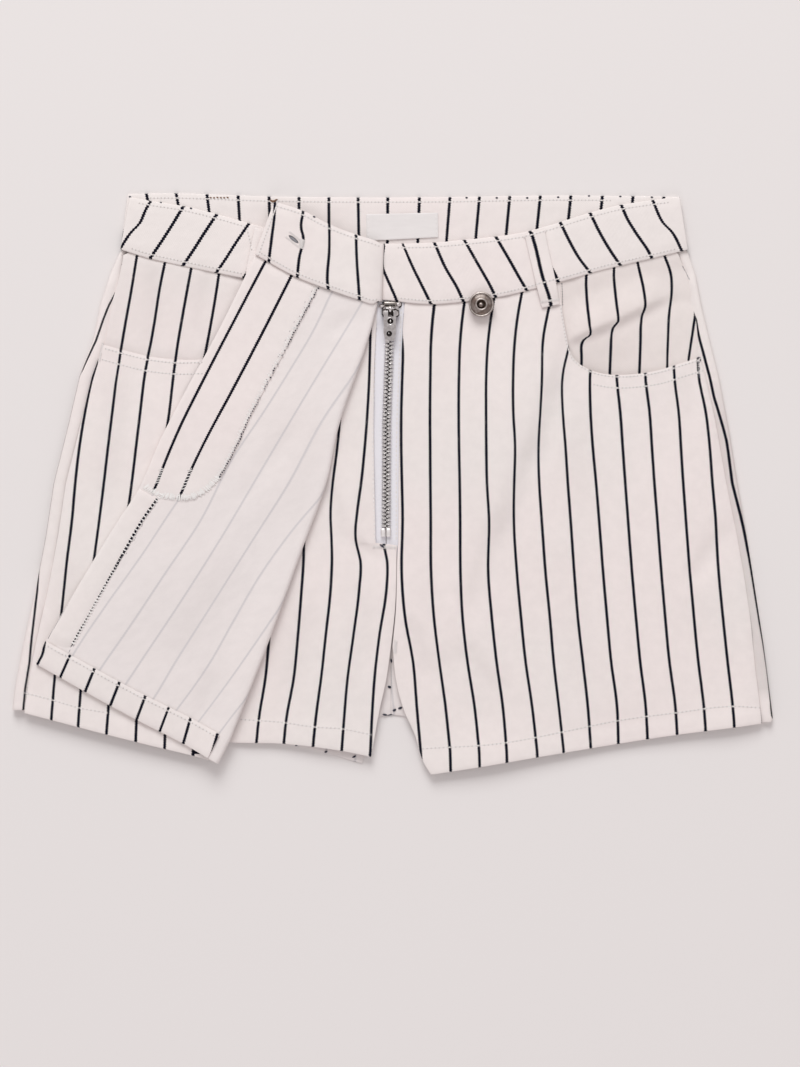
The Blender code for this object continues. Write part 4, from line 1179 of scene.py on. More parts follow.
# %% The left pocket facing
top = edge(([(-146, 130.9), (-138.9, 129.2), (-123.8, 125.7), (-105.3, 121.8),
             (-85.7, 117.8), (-73.5, 114.7)], 6))
left = seam_edge(side_left, np.linspace(130.9, 60, 5 * FINE + 1))
left[0] = top[0]
right = edge(([(-73.5, 114.7), (-76, 56)], 5))
bottom = edge(([tuple(left[-1]), (-76, 56)], 6))
plan, x, y, above, _, _, _ = laid_out(top, bottom, left, right)
POCKET_CREASES = table(Fold, (-134, 130, -136, 66, 5, -0.9), (-104, 126, -110, 74, 4, -0.8))
height = (FRONT_Z + CLOTH + fullness(x, y) + 0.3 * uneven(plan, 18.0, 31.0)
          + relief(x, y, POCKET_CREASES) + seam_pucker(plan, above, 32.0) - tucked(above, 0.8))
over_edge = y - np.interp(x, *np.array(SCOOP_LEFT_BOTTOM).T)
# Painted shade: a little over all the facing, more along the pocket's mouth and in its two hollows.
facing_left = cloth("pocket_facing_left", raised(plan, height),
                    stripe_field(LEFT_POCKET_STRIPES, pitch=15.5),
                    shade=(0.03 + 0.075 * bell(over_edge, 5.0)
                           + crease_painted_shade(x, y, POCKET_CREASES)))

# %% [markdown]
# ## The fronts
# Each front is one shell from the band to the hem. The soft folds were placed where the legs
# push the cloth up. The hems are turned up and stitched, so they are thicker and ripple a
# little.

# %% Folds and creases of the legs
RIGHT_FOLDS = table(Fold, (64, 88, 66, -60, 13, 1.3), (90, 66, 92, -70, 14, 1.5),
                    (30, -40, 60, -130, 14, 1.0), (150, 20, 172, -90, 16, 1.1))
RIGHT_CREASES = table(Fold, (95, 68, 76, 2, 6.5, -1.3), (84, 34, 56, -44, 7, -1.3),
                      (68, -8, 34, -84, 8, -1.2), (8, -72, 24, -116, 4.5, -1.1),
                      (34, -86, 64, -122, 6, -0.9), (14, -40, 34, -120, 6, -0.6),
                      (36, -60, 22, -100, 7, 0.5), (60, 104, 62, 60, 6, 0.4),
                      (8, 60, 10, -60, 5, 0.35), (192, -18, 162, -60, 6, -1.2),
                      (172, -34, 190, -100, 7, 0.5), (104, 60, 112, -40, 8, -0.4),
                      (128, 54, 136, -30, 9, 0.35), (164, 64, 166, 30, 5, -0.5),
                      (171, 66, 177, 10, 4, 0.4), (100, -60, 110, -130, 9, -0.4),
                      (30, 100, 28, 40, 7, -0.35))
LEFT_FOLDS = table(Fold, (-22, 20, -34, -130, 9, 1.0))
# A line of painted shade alone, with no fold in the cloth, left of the pocket's scoop.
RIGHT_PAINTED_SHADE_LINES = table(Fold, (102, 106, 82, 22, 6, -1.3))
LEFT_CREASES = table(Fold, (-40, -20, -2, -46, 3.2, -1.0), (-30, -22, -10, -36, 3.5, 0.6),
                     (-42, 8, -22, -32, 4, -1.0), (-16, 20, -26, -30, 5, 0.5),
                     (-45, -60, -62, -130, 7, -0.8), (-24, -60, -30, -125, 6, 0.4),
                     (-12, -60, -16, -110, 5, -0.4))


def shared_waves(plan):
    """Slow waves that the layers of the front share, so that they lie on each other."""
    return 0.35 * uneven(plan, 42.0, 2.0)


# %% [markdown]
# The right front starts at the fly, passes the scoop of its pocket and ends at the side.

# %% The right front
UNDER = 2.4                # how far a piece runs on under the band it is sewn to
band_low = lows(RIGHT_BAND[1:5], UNDER)
fly, scoop = [(6.8, 104.0)] + FLY_EDGE[1:], [(93.7, 115.4)] + SCOOP_RIGHT_DROP[1:]
top = edge((fly[:1] + band_low + scoop[:1], 6), (scoop, 3), (SCOOP_RIGHT_BOTTOM, 7))
hem = np.array(RIGHT_HEM, float)
bottom = edge((RIGHT_HEM[:3] + [(76, -154.3)], 6), ([(76, -154.3), (94, -151.3)], 3),
              ([(94, -151.3)] + RIGHT_HEM[4:], 7))
left = edge((fly, 8), (fly[-1:] + CENTRE_SEAM, 4), (RIGHT_INNER_LEG, 5))
right = seam_edge(side_right, np.linspace(SCOOP_RIGHT_BOTTOM[-1][1], hem[-1][1], 17 * FINE + 1))
plan, x, y, above, below, from_fly, from_side = laid_out(top, bottom, left, right)
height = (FRONT_Z + CLOTH + fullness(x, y) + relief(x, y, RIGHT_FOLDS)
          + relief(x, y, RIGHT_CREASES) + shared_waves(plan) * ease(0, 30, above)
          + hem_relief(plan, below, 13.0 - 4.0 * ease(20, 120, x), 21.0)
          + seam_pucker(plan, above, 22.0, 0.35) + seam_pucker(plan, from_side, 23.0, 0.35)
          + seam_pucker(plan, from_fly, 24.0, 0.2) - 0.5 * fade(from_side, 1.4)
          - tucked(above, 0.8) * ease(92, 86, x)
          + ease(30, 0, below) * (1.2 * bell(x - 50, 26.0)
                                  + 1.0 * bell(x - 190, 16.0)
                                  - 0.9 * bell(x - 128, 26.0)))
# Its troughs, and the line of shade beside the scoop, get painted shade.
front_right = cloth("front_right", raised(plan, height), stripe_field(RIGHT_FRONT_STRIPES),
                    shade=crease_painted_shade(x, y, RIGHT_CREASES + RIGHT_PAINTED_SHADE_LINES))

# %% [markdown]
# The left front lies mostly under the flap. Only its leg and the cloth beside the zip show.

# %% The left front
band_low = lows(LEFT_BAND[1:-1], -JOIN)
top = edge(([(-149, 128)] + band_low[:-1] + [TAPE_EDGE[0]], 12))
bottom = edge((LEFT_HEM, 12))
seam = [(px - JOIN, py) for px, py in CENTRE_SEAM]
right = edge((TAPE_EDGE, 6), ([TAPE_EDGE[-1], (seam[0][0], -34.6)], 1),
             ([(seam[0][0], -34.6)] + seam[1:2] + [LEFT_INNER_LEG[0]], 4),
             (LEFT_INNER_LEG, 4))
levels = refined(np.r_[np.linspace(128, -31, 7), np.linspace(-40, -126, 9)])
left = seam_edge(side_left, levels, inset=3.6)
left[0] = top[0]
plan, x, y, above, below, _, from_fly = laid_out(top, bottom, left, right)
rise = (FRONT_Z - FACING_Z) * ease(-72, -40, x)
height = (FACING_Z + CLOTH + rise + fullness(x, y) + relief(x, y, LEFT_FOLDS)
          + relief(x, y, LEFT_CREASES) + 0.6 * shared_waves(plan) * ease(0, 30, above)
          + hem_relief(plan, below, 13.0, 26.0) * ease(-95, -75, x)
          + seam_pucker(plan, from_fly, 27.0, 0.25))
# Its troughs get painted shade.
front_left = cloth("front_left", raised(plan, height), stripe_field(LEFT_FRONT_STRIPES),
                   shade=crease_painted_shade(x, y, LEFT_CREASES))

# %% [markdown]
# ## The flap
# The wrap flap is one sheet. It starts at the left side seam with its right side up, turns
# round its unpressed fold and comes back over itself with its wrong side up.

# %% The wrap flap
FLAP_ROWS = 16
FREE_EDGE_TOP = (-76.5, 129.3)     # where the free edge passes under the band's corner
UPPER_CREASES = table(Fold, (-10, 100, -38, 84, 4, -1.0), (-20, 90, -30, 60, 6, 0.6),
                      (-34, 46, -62, -34, 7, -0.9), (-46, 44, -94, -22, 6, -0.7),
                      (-60, 20, -110, -60, 12, 0.6), (-84, -40, -130, -110, 11, -0.8),
                      (-60, -50, -92, -120, 7, 0.6), (-120, -30, -165, -92, 10, 0.5),
                      (-96, -100, -112, -138, 6, -0.7))
LOWER_CREASES = table(Fold, (-170, 60, -186, -60, 9, 0.7), (-150, 70, -162, -24, 8, -1.0),
                      (-138, 60, -142, 10, 8, 0.5), (-176, -40, -190, -110, 8, -0.9),
                      (-196, -60, -203, -122, 5, 0.4))


def make_flap():
    """The flap, and the points of its upper run, on which its edge strips lie."""
    fold = edge((FLAP_FOLD[:-1], FLAP_ROWS - 1), (FLAP_FOLD[-2:], 1))
    outward = -courses(fold)[1]
    low = lower_height(fold[:, 0], fold[:, 1])
    high = upper_height(fold[:, 0], fold[:, 1])
    radius = (high - low) / 2
    inner = fold - outward * (radius + CLOTH / 2)[:, None]

    band_low = lows(LEFT_BAND[5:7], -JOIN)
    top = edge((SCOOP_LEFT_BOTTOM, 4), (SCOOP_LEFT_DROP, 3),
               ([SCOOP_LEFT_DROP[-1]] + band_low + [tuple(inner[0])], 4))
    bottom = edge((FLAP_LOWER_HEM[:4], 4), (FLAP_LOWER_HEM[3:5], 3),
                  (FLAP_LOWER_HEM[4:] + [tuple(inner[-1])], 4))
    seam = seam_edge(side_left, np.linspace(SCOOP_LEFT_BOTTOM[0][1], FLAP_LOWER_HEM[0][1],
                                            FLAP_ROWS * FINE + 1))
    plan, x, y, above, below, from_side, to_fold = laid_out(top, bottom, seam, inner)
    away = ease(0, 25, to_fold)
    z = (lower_height(x, y) + away * (relief(x, y, LOWER_CREASES)
                                      + 0.7 * shared_waves(plan)
                                      + seam_pucker(plan, from_side, 41.0, 0.35)
                                      + seam_pucker(plan, above, 42.0, 0.3))
         + hem_relief(plan, below, 10.5, 43.0) * ease(0, 8, to_fold))
    lower = raised(plan, z)
    lower[:, -1, 2] = low
    right_side = stripe_field(FLAP_LOWER_STRIPES)
    across_low = right_side(x, y)

    band_low = lows(UPPER_BAND[2:-1], UNDER)[::-1]
    top = edge(([FREE_EDGE_TOP] + band_low + [tuple(inner[0])], 10))
    bottom = edge((FLAP_UPPER_HEM + [tuple(inner[-1])], 10))
    free = edge(([FREE_EDGE_TOP] + FLAP_FREE_EDGE[1:-1], FLAP_ROWS - 1), (FLAP_FREE_EDGE[-2:], 1))
    plan, x, y, above, _, _, to_fold = laid_out(top, bottom, free, inner)
    away = ease(0, 22, to_fold)
    z = (upper_height(x, y) + away * (relief(x, y, UPPER_CREASES)
                                      + 0.5 * seam_pucker(plan, above, 44.0))
         + 0.7 * shared_waves(plan) * away - tucked(above, 0.5) * away)
    upper = raised(plan, z)
    upper[:, -1, 2] = high
    across_up = 13.0 - stripe_field(FLAP_WRONG_STRIPES)(x, y)

    at_fold = across_up[:, -1] - 0.2
    hidden_from = np.interp(lower[..., 1], [-157, -150, -100, 0, 60, 100],
                            [-109, -112, -128, -120, -100, -84])
    hidden = np.clip((lower[..., 0] - hidden_from)
                     / np.maximum(lower[:, -1:, 0] - hidden_from, 1.0), 0, 1)
    start_value = right_side(hidden_from, lower[..., 1])
    across_low = np.where(hidden > 0,
                          start_value + (at_fold[:, None] - 0.2 - start_value) * hidden,
                          across_low)
    turns = []
    for angle in (-60, -30, 0, 30, 60):
        reach = radius * math.cos(math.radians(angle))
        turn_z = low + radius + radius * math.sin(math.radians(angle))
        turns.append(np.column_stack([inner + outward * reach[:, None], turn_z]))
    roll = at_fold[:, None] + np.linspace(-0.2, 0.2, len(turns) + 2)[None]
    across_low[:, -1] = roll[:, 0]
    grid = np.concatenate([lower, np.stack(turns, axis=1), upper[:, ::-1]], axis=1)
    across = np.concatenate([across_low, roll[:, 1:-1], across_up[:, ::-1]], axis=1)
    # Painted shade in the troughs of both runs.
    dull = np.concatenate([crease_painted_shade(lower[..., 0], lower[..., 1], LOWER_CREASES),
                           np.zeros((len(grid), len(turns))),
                           crease_painted_shade(x, y, UPPER_CREASES)[:, ::-1]], axis=1)
    return cloth("flap", grid, across, offset=0.0, wall=0.9, rounding=0.2, shade=dull), upper


flap, upper_run = make_flap()

# %% [markdown]
# What is turned in or sewn on along the flap's edges: the hem with its right side showing,
# the shaped facing down the free edge, and the plain turning below it.

# %% The flap's hem
ON_FLAP = CLOTH / 2 + GAP
hem_rows = upper_run[-(FINE + 1):, :-2].copy()
hem_plan = hem_rows[..., :2]
above, below, _, _ = edge_distances(hem_plan)
hem_rows[..., 2] += (ON_FLAP + 0.75 + 0.1 * np.sin(hem_plan[..., 0] / 1.4 + below)
                     - 0.25 * bell(above - 1.6, 0.9) - 0.3 * fade(below, 0.8))
flap_hem = cloth("flap_hem", hem_rows, stripe_field(FLAP_HEM_STRIPES, pitch=15.5), lean=24,
                 wall=0.75)

# %% [markdown]
# The facing is the flap's own cloth with its right side up, so its stripes are navy. Its end
# is rounded, and its inner edge dips where the overlocking holds it down.

# %% The flap's facing and turning
top = edge(([FREE_EDGE_TOP, (-53.0, 117.4), (-40.8, 111.4)], 4))
bottom = edge(([FACING_END, (-132, -6.8), FACING_INNER[-1]], 4))
left = edge(([FREE_EDGE_TOP] + FLAP_FREE_EDGE[1:5] + [FACING_END], 11))
right = edge(([(-40.8, 111.4)] + FACING_INNER[1:], 11))
plan, x, y, above, below, from_free, from_inner = laid_out(top, bottom, left, right)
height = (upper_height(x, y) + ON_FLAP + 0.6 + 0.7 * shared_waves(plan)
          + 0.25 * uneven(plan, 16.0, 51.0) - 0.3 * fade(from_free, 0.8)
          + 0.2 * uneven(plan, 3.0, 52.0) * fade(from_inner, 3.0)
          - 0.5 * fade(from_inner, 1.4) - 0.7 * fade(below, 5.0) - tucked(above, 0.9))
counted = stripe_field(FACING_STRIPES, pitch=16.0)(x, y)
facing = cloth("flap_facing", raised(plan, height), np.minimum(counted, 1.7), lean=28, wall=0.75)

left = sample(TURN_IN_FREE, 6 * FINE)
right = sample(TURN_IN_INNER, 6 * FINE)
share = np.linspace(0, 1, 7)[None, :, None]
plan = left[:, None] * (1 - share) + right[:, None] * share
x, y = plan[..., 0], plan[..., 1]
_, below, from_free, from_inner = edge_distances(plan)
height = (upper_height(x, y) + ON_FLAP + 0.6 + 0.7 * shared_waves(plan)
          - 0.3 * fade(from_free, 0.8) - 0.75 * fade(from_inner, 2.0)
          + 0.2 * uneven(plan, 3.0, 54.0) - 0.9 * ease(5.2, 3.6, below))
turn_in = cloth("flap_edge", raised(plan, height), stripe_field(TURN_IN_STRIPES), lean=30,
                wall=0.75)

# %% [markdown]
# ## Belt loops, label and zip tapes
# Narrow pieces, each with its edges turned under. The label is left plain.

# %% Belt loops and label


def narrow(node, left, right, heights, wall, across, slot, materials, lean=0.0, cells=8,
           over=6, crown=0.25):
    """A narrow band from paired points down its edges and its upper face's heights."""
    rows = (len(left) - 1) * cells
    left3 = sample([(*p, z) for p, z in zip(left, heights)], rows)
    right3 = sample([(*p, z) for p, z in zip(right, heights)], rows)
    share = np.linspace(0, 1, over + 1)[None, :, None]
    grid = left3[:, None] * (1 - share) + right3[:, None] * share
    grid[..., 2] += crown * (1 - (2 * share[..., 0] - 1) ** 4) - crown
    if not callable(across):
        across = across + (grid[..., 0] - grid[0, 0, 0]) / PITCH * 0.2
    return cloth(node, grid, across, lean=lean, wall=wall, slot=slot, materials=materials,
                 rounding=min(0.3, wall * 0.35))


over_band = LOOP_Z + 0.15 + CLOTH
left = [(73.7, 139.2), (76.5, 127), (80.2, 111), (81.8, 105), (82.5, 102.4), (83.4, 98.4)]
right = [(84.9, 142.4), (87.4, 130), (91, 114), (92.4, 106.6), (92.9, 103.4), (93.5, 100.4)]
heights = [over_band, over_band + 0.3, over_band + 0.7, over_band + 0.3,
           FRONT_Z + 2 * CLOTH + 0.9, FRONT_Z + 2 * CLOTH + 0.5]
loop_right = narrow("belt_loop_right", left, right, heights, 0.9,
                    stripe_field(LOOP_STRIPES, pitch=20.0), "striped_twill", both_faces, -15)
left = [(-77.5, 143.4), (-80.2, 130), (-82.6, 117.4)]
right = [(-66.2, 140.4), (-68.9, 127), (-71.2, 114.6)]
heights = [LOOP_Z + 1.1, LOOP_Z + 1.45, LOOP_Z + 1.85]
loop_left = narrow("belt_loop_left", left, right, heights, 0.9, 0.4, "striped_twill",
                   both_faces, -10)
label = narrow("label", [(-15.1, 151.2), (-14.9, 136.1)], [(25.2, 152), (25.4, 138.2)],
               [BAND + GAP + 0.75] * 2, 0.5, 0.0, "label_satin", (satin,), cells=16, over=30,
               crown=0.15)

# %% [markdown]
# The zip's tapes run down under both edges of the fly. They rise a little beside the slider.

# %% Zip tapes
zip_line = sample([(-1.7, 105.8)] + CHAIN_LINE[1:3] + [(-3.9, -41)], 60)
tape_height = FACING_Z + CLOTH + 0.5 * ease(99, 80, zip_line[:, 1])[:, None]
for node, sign, lift in (("zip_tape_left", -1, 2.0), ("zip_tape_right", 1, 1.2)):
    columns = [zip_line + np.array([sign * (0.2 + 12.8 * share), 0.0])
               for share in np.linspace(0, 1, 9)]
    grid = np.stack(columns, axis=1)
    off = np.abs(grid[..., 0] - zip_line[:, :1])
    high = (tape_height + lift * ease(3.0, 4.5, off) * ease(9.0, 7.0, off)
            * ease(86, 95, grid[..., 1]) * ease(103, 100.5, grid[..., 1]))
    if sign < 0:
        grid, high = grid[:, ::-1], high[:, ::-1]
    cloth(node, raised(grid, high), grid[..., 0] / PITCH, slot="zip_tape",
                       materials=(zip_tape,))

# %% [markdown]
# ## The zip
# A metal zip has two columns of teeth that mesh in the middle. Each tooth is one small
# rounded bar, clamped on the tape at its outer end, and every second one belongs to the
# other side. One tooth is modelled and then repeated down both sides. An Array modifier
# would need a curve to follow, because the chain bends slightly.

# %% Tools for small hard pieces


def finish(name, body, material, nodes=()):
    """Names a modelled piece, whose origin is already at zero, and lets it ride on its body."""
    item = bpy.context.object
    item.name = item.data.name = name
    item.data.materials.clear()
    item.data.materials.append(material)
    bpy.ops.object.shade_smooth_by_angle(angle=math.radians(40))
    item.select_set(False)
    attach(item, body)
    if nodes:
        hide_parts(*nodes)
    print(f"{name}: {len(item.data.polygons)} faces")


def use(kind, amount):
    """Adds and applies one simple modifier to the active piece."""
    piece = bpy.context.object
    modifier = piece.modifiers.new(kind.lower(), kind)
    if kind == "BEVEL":
        modifier.width, modifier.segments = amount
        modifier.limit_method = "ANGLE"
        modifier.angle_limit = math.radians(40)
    else:
        modifier.operation = "DIFFERENCE"
        modifier.object = amount
    bpy.ops.object.modifier_apply(modifier=modifier.name)


def settled(scale=(1, 1, 1)):
    """The active piece, scaled, with its place, turn and size put into its mesh."""
    bpy.context.object.scale = scale
    bpy.ops.object.transform_apply(location=True, rotation=True, scale=True)
    return bpy.context.object


def block(x0, x1, y0, y1, z0, z1, rounding, segments=2):
    """A rounded block between two corners in mm."""
    bpy.ops.mesh.primitive_cube_add(size=1.0, location=((x0 + x1) / 2 * MM, (y0 + y1) / 2 * MM,
                                                        (z0 + z1) / 2 * MM))
    settled(((x1 - x0) * MM, (y1 - y0) * MM, (z1 - z0) * MM))
    use("BEVEL", (rounding * MM, segments))
    return bpy.context.object


def ball(x, y, z, rx, ry, rz, segments=16):
    bpy.ops.mesh.primitive_uv_sphere_add(segments=segments, ring_count=segments // 2,
                                         radius=1.0, location=(x * MM, y * MM, z * MM))
    return settled((rx * MM, ry * MM, rz * MM))


def ring(x, y, z, radius, thick, turn=(0, 0, 0), steps=32):
    bpy.ops.mesh.primitive_torus_add(location=(x * MM, y * MM, z * MM), rotation=turn,
                                     major_segments=steps, minor_segments=10,
                                     major_radius=radius * MM, minor_radius=thick * MM)
    return settled()


def drum(x, y, z0, z1, radius, top=None, steps=32):
    """An upright cylinder, or a cone where the radius at its top is given."""
    bpy.ops.mesh.primitive_cone_add(vertices=steps, radius1=radius * MM,
                                    radius2=(radius if top is None else top) * MM,
                                    depth=(z1 - z0) * MM,
                                    location=(x * MM, y * MM, (z0 + z1) / 2 * MM))
    return settled()


def joined(*pieces):
    """The pieces as one, which keeps the first one's name."""
    pick(*pieces)
    bpy.ops.object.join()
    return bpy.context.object


def bored(piece, *tools):
    """Cuts holes through the piece with the given tools, which are then removed."""
    for tool in tools:
        pick(piece)
        use("BOOLEAN", tool)
        bpy.data.objects.remove(tool)
    return piece


def repeated(name, source, places, material, nodes=()):
    """One mesh of many copies of a small shape. Each place gives a middle, a direction along
    the shape's X and its three sizes, all in mm."""
    shape = np.array([v.co for v in source.data.vertices])
    faces = [tuple(face.vertices) for face in source.data.polygons]
    bpy.data.objects.remove(source)
    points, polygons = [], []
    for middle, direction, size in places:
        forward = np.array(direction, float)
        forward /= np.linalg.norm(forward)
        side = np.cross([0.0, 0.0, 1.0], forward)
        side /= np.linalg.norm(side)
        frame3 = np.stack([forward, side, np.cross(forward, side)])
        start = len(points) * len(shape)
        points.append((shape * np.array(size)) @ frame3 + np.array(middle))
        polygons += [tuple(start + index for index in face) for face in faces]
    mesh = bpy.data.meshes.new(name)
    mesh.from_pydata((np.vstack(points) * MM).tolist(), [], polygons)
    item = bpy.data.objects.new(name, mesh)
    scene.collection.objects.link(item)
    pick(item)
    finish(name, "garment", material, nodes)


def tooth_shape():
    """A block of size 1 with its corners taken off."""
    bpy.ops.mesh.primitive_cube_add(size=1.0)
    use("BEVEL", (0.2, 1))
    return bpy.context.object


# %% [markdown]
# The two columns of teeth are set half a step apart, and each tooth slants a little down.

# %% Teeth
TOOTH_STEP = 2.15
chain = np.array(CHAIN_LINE, float)[::-1]
places = []
height = 79.6
while height > -24.2:
    middle = np.interp(height, chain[:, 1], chain[:, 0])
    places.append(((middle - 1.24, height, 3.7), (1, -0.30, 0), (2.6, 1.5, 1.9)))
    places.append(((middle + 1.24, height - TOOTH_STEP / 2, 3.7), (1, 0.30, 0), (2.6, 1.5, 1.9)))
    height -= TOOTH_STEP
repeated("zip_teeth", tooth_shape(), places, nickel, ("zip_chain",))

# %% [markdown]
# The teeth are clamped round a cord, which is painted near black as the shade between them.
# The bottom stop is two bright staples, one on each tape, lighter as a painted bright
# reflection.

# %% Cord and bottom stop
places = [((np.interp(y, chain[:, 1], chain[:, 0]), y, 3.2), (0, 1, 0), (4.4, 1.5, 0.7))
          for y in np.arange(78.0, -24.0, -4.2)]
repeated("zip_cord_painted_shade", tooth_shape(), places, painted_shade_nickel)
joined(block(-6.9, -4.25, -29.9, -25.0, 2.8, 5.0, 0.8, 4),
       block(-3.85, -1.2, -29.9, -25.0, 2.8, 5.0, 0.8, 4))
finish("bottom_stop", "garment", bright_nickel, ("zip_stop",))

# %% [markdown]
# The slider has a rounded body, two pointed shoulders and a bridge that holds the pull tab.

# %% Slider
# The slider and pull tab are in darker nickel, a painted dark reflection.
body = block(-5.7, 3.3, 93.8, 101.4, 2.6, 4.3, 0.8, 3)
left_tip = ball(-6.4, 99.4, 4.3, 1.7, 1.1, 1.3)
right_tip = ball(3.0, 100.5, 4.3, 1.7, 1.4, 1.4)
left_bead = ball(-6.2, 99.3, 5.2, 0.8, 0.7, 0.6)
right_bead = ball(2.9, 100.5, 5.3, 0.9, 0.9, 0.6)
bridge = ring(-1.6, 97.55, 5.9, 1.25, 0.8, (0, math.pi / 2, 0), 24)
step = block(-4.2, 1.0, 97.6, 98.5, 4.2, 6.2, 0.4, 2)
joined(body, left_tip, right_tip, left_bead, right_bead, bridge, step)
finish("slider", "garment", dark_reflection_nickel, ("zip_slider",))
# The cap is in darker nickel still, a painted dark reflection.
block(-5.2, 1.8, 98.9, 101.9, 4.1, 5.3, 0.6, 3)
finish("slider_cap", "garment", darker_reflection_nickel)
# A near-black plate under the body and its shoulders, and a strip under the cap, are painted shade
# round the slider.
joined(block(-6.1, 3.7, 93.4, 101.8, 2.5, 3.4, 0.3, 2),
       drum(-6.4, 99.3, 2.6, 3.8, 1.6, steps=24), drum(3.1, 100.3, 2.6, 3.8, 1.9, steps=24),
       block(-4.6, 1.2, 99.4, 100.3, 5.3, 5.55, 0.1, 1))
finish("slider_painted_shade", "garment", painted_shade_nickel)

# %% [markdown]
# The pull tab is stamped from sheet. It has two ears beside the bridge, tapers downwards and
# has a slot for the bridge, a round hole with a rolled rim and a smaller hole near its end.

# %% Pull tab
bpy.ops.mesh.primitive_cube_add(size=1.0, location=(-1.8 * MM, 88.3 * MM, 6.5 * MM))
tab = settled((7.0 * MM, 16.8 * MM, 1.2 * MM))
bpy.ops.object.mode_set(mode="EDIT")
bpy.ops.mesh.select_all(action="SELECT")
bpy.ops.mesh.subdivide(number_cuts=3)
bpy.ops.mesh.select_all(action="DESELECT")
bpy.ops.object.mode_set(mode="OBJECT")
for vertex in tab.data.vertices:
    vertex.select = vertex.co.y < 81 * MM
bpy.ops.object.mode_set(mode="EDIT")
bpy.ops.transform.resize(value=(0.72, 1.0, 1.0), center_override=(-1.95 * MM, 80 * MM, 0))
bpy.ops.object.mode_set(mode="OBJECT")
use("BEVEL", (0.4 * MM, 2))
left_ear = drum(-4.3, 95.7, 5.9, 7.05, 2.0, 1.5, steps=6)
right_ear = drum(1.3, 95.4, 5.9, 7.05, 2.2, 1.6, steps=6)
for piece in (tab, left_ear, right_ear):
    bored(piece, block(-2.8, 0.3, 93.5, 98.8, 5.0, 8.0, 0.2, 2))
bored(tab, drum(-1.5, 90.8, 5.0, 8.0, 1.75, steps=24))
bored(tab, drum(-2.1, 83.8, 5.0, 8.0, 1.6, steps=24))
joined(tab, left_ear, right_ear, ring(-1.5, 90.8, 6.95, 1.95, 0.32, steps=24),
       ball(-1.5, 90.9, 6.5, 0.65, 0.65, 0.6), block(-2.4, 0.0, 92.7, 93.3, 6.6, 7.1, 0.25, 2),
       ball(-2.3, 84.1, 6.25, 0.45, 0.45, 0.5))
finish("pull_tab", "zip_pull", dark_reflection_nickel, ("zip_pull",))
# Near-black discs in both holes, plates under the ears and a block in the slot are painted shade,
# and ride with the tab.
joined(drum(-1.5, 90.8, 5.95, 6.2, 1.8, steps=24), drum(-2.1, 83.8, 5.95, 6.2, 1.65, steps=24),
       drum(-4.3, 95.7, 5.5, 5.85, 2.4, steps=6), drum(1.3, 95.4, 5.5, 5.85, 2.6, steps=6),
       block(-2.9, 0.4, 94.4, 96.6, 5.95, 6.5, 0.1, 1))
finish("pull_tab_painted_shade", "zip_pull", painted_shade_nickel)

# %% [markdown]
# ## The button
# A jeans button in antique nickel: a rolled rim, a shallow dished face, a raised ring and a
# dark hollow with a polished stud in it. One spun profile would do too, but separate rings
# and plates keep the sharp lines where they meet.

# %% Jeans button
plate = bored(drum(BUTTON_X, BUTTON_Y, 4.6, 8.0, 6.7, 6.5, 64),
              drum(BUTTON_X, BUTTON_Y, 7.0, 9.0, 2.65, steps=32))
dish = bored(drum(BUTTON_X, BUTTON_Y, 7.9, 8.75, 5.9, 3.3, 64),
             drum(BUTTON_X, BUTTON_Y, 7.0, 9.5, 2.65, steps=32))
rim = ring(BUTTON_X, BUTTON_Y, 8.0, 6.45, 0.58, steps=64)
groove = ring(BUTTON_X, BUTTON_Y, 8.12, 5.45, 0.22, steps=64)
collar = ring(BUTTON_X, BUTTON_Y, 8.75, 3.0, 0.5, steps=48)
stud = ball(BUTTON_X - 0.2, BUTTON_Y - 0.3, 7.3, 1.65, 1.65, 1.35, 24)
post = drum(BUTTON_X, BUTTON_Y, 3.9, 4.8, 5.2, 5.2, 32)
joined(plate, dish, rim, groove, collar, stud, post)
finish("jeans_button", "garment", antique, ("button",))

# %% [markdown]
# ## Stitching
# Topstitching is laid on the finished cloth. A ray straight down finds the cloth under every
# point of a row. Each stitch is one small pillow of thread. Between two stitches a small grey
# disc is painted shade, for the dent where the needle has pulled the cloth in. Bump in the
# material would be cheaper, but it would leave the mesh bare.

# %% Laying thread on cloth
points, polygons = [], []
for item in made_cloth:
    start = len(points)
    points += [v.co.copy() for v in item.data.vertices]
    polygons += [[start + index for index in face.vertices] for face in item.data.polygons]
covering = BVHTree.FromPolygons(points, polygons)


def cloth_top(x, y):
    """The height in mm of the uppermost cloth at a point."""
    hit = covering.ray_cast(Vector((x * MM, y * MM, 0.03)), Vector((0, 0, -1)))[0]
    return hit.z / MM if hit else 0.0


def lay(start, end, thick, lift=0.05, high=0.7):
    """One thread between two points, as a place for repeated()."""
    za, zb = cloth_top(*start), cloth_top(*end)
    middle = ((start[0] + end[0]) / 2, (start[1] + end[1]) / 2)
    z = max((za + zb) / 2, cloth_top(*middle)) + lift
    direction = (end[0] - start[0], end[1] - start[1], np.clip(zb - za, -0.6, 0.6))
    return (*middle, z), direction, (math.hypot(*direction[:2]), thick, thick * high)


def over(middle, half, *sizes):
    """One thread that lies over a point and reaches as far on both sides of it."""
    return lay(np.array(middle) - half, np.array(middle) + half, *sizes)


def run(line, step, thick=0.85, share=0.72):
    """A row of stitches along a line, and the painted shade of its needle holes."""
    length = np.linalg.norm(np.diff(np.array(line, float), axis=0), axis=1).sum()
    at = sample(line, max(int(round(length / step)), 1))
    rows = []
    for a, b in zip(at[:-1], at[1:]):
        gap = (b - a) * (1 - share) / 2
        rows.append(lay(a + gap, b - gap, thick, 0.0, 0.26))
    return rows, [over(p, (0.33, 0.33), 0.8, 0.07, 0.16) for p in at]


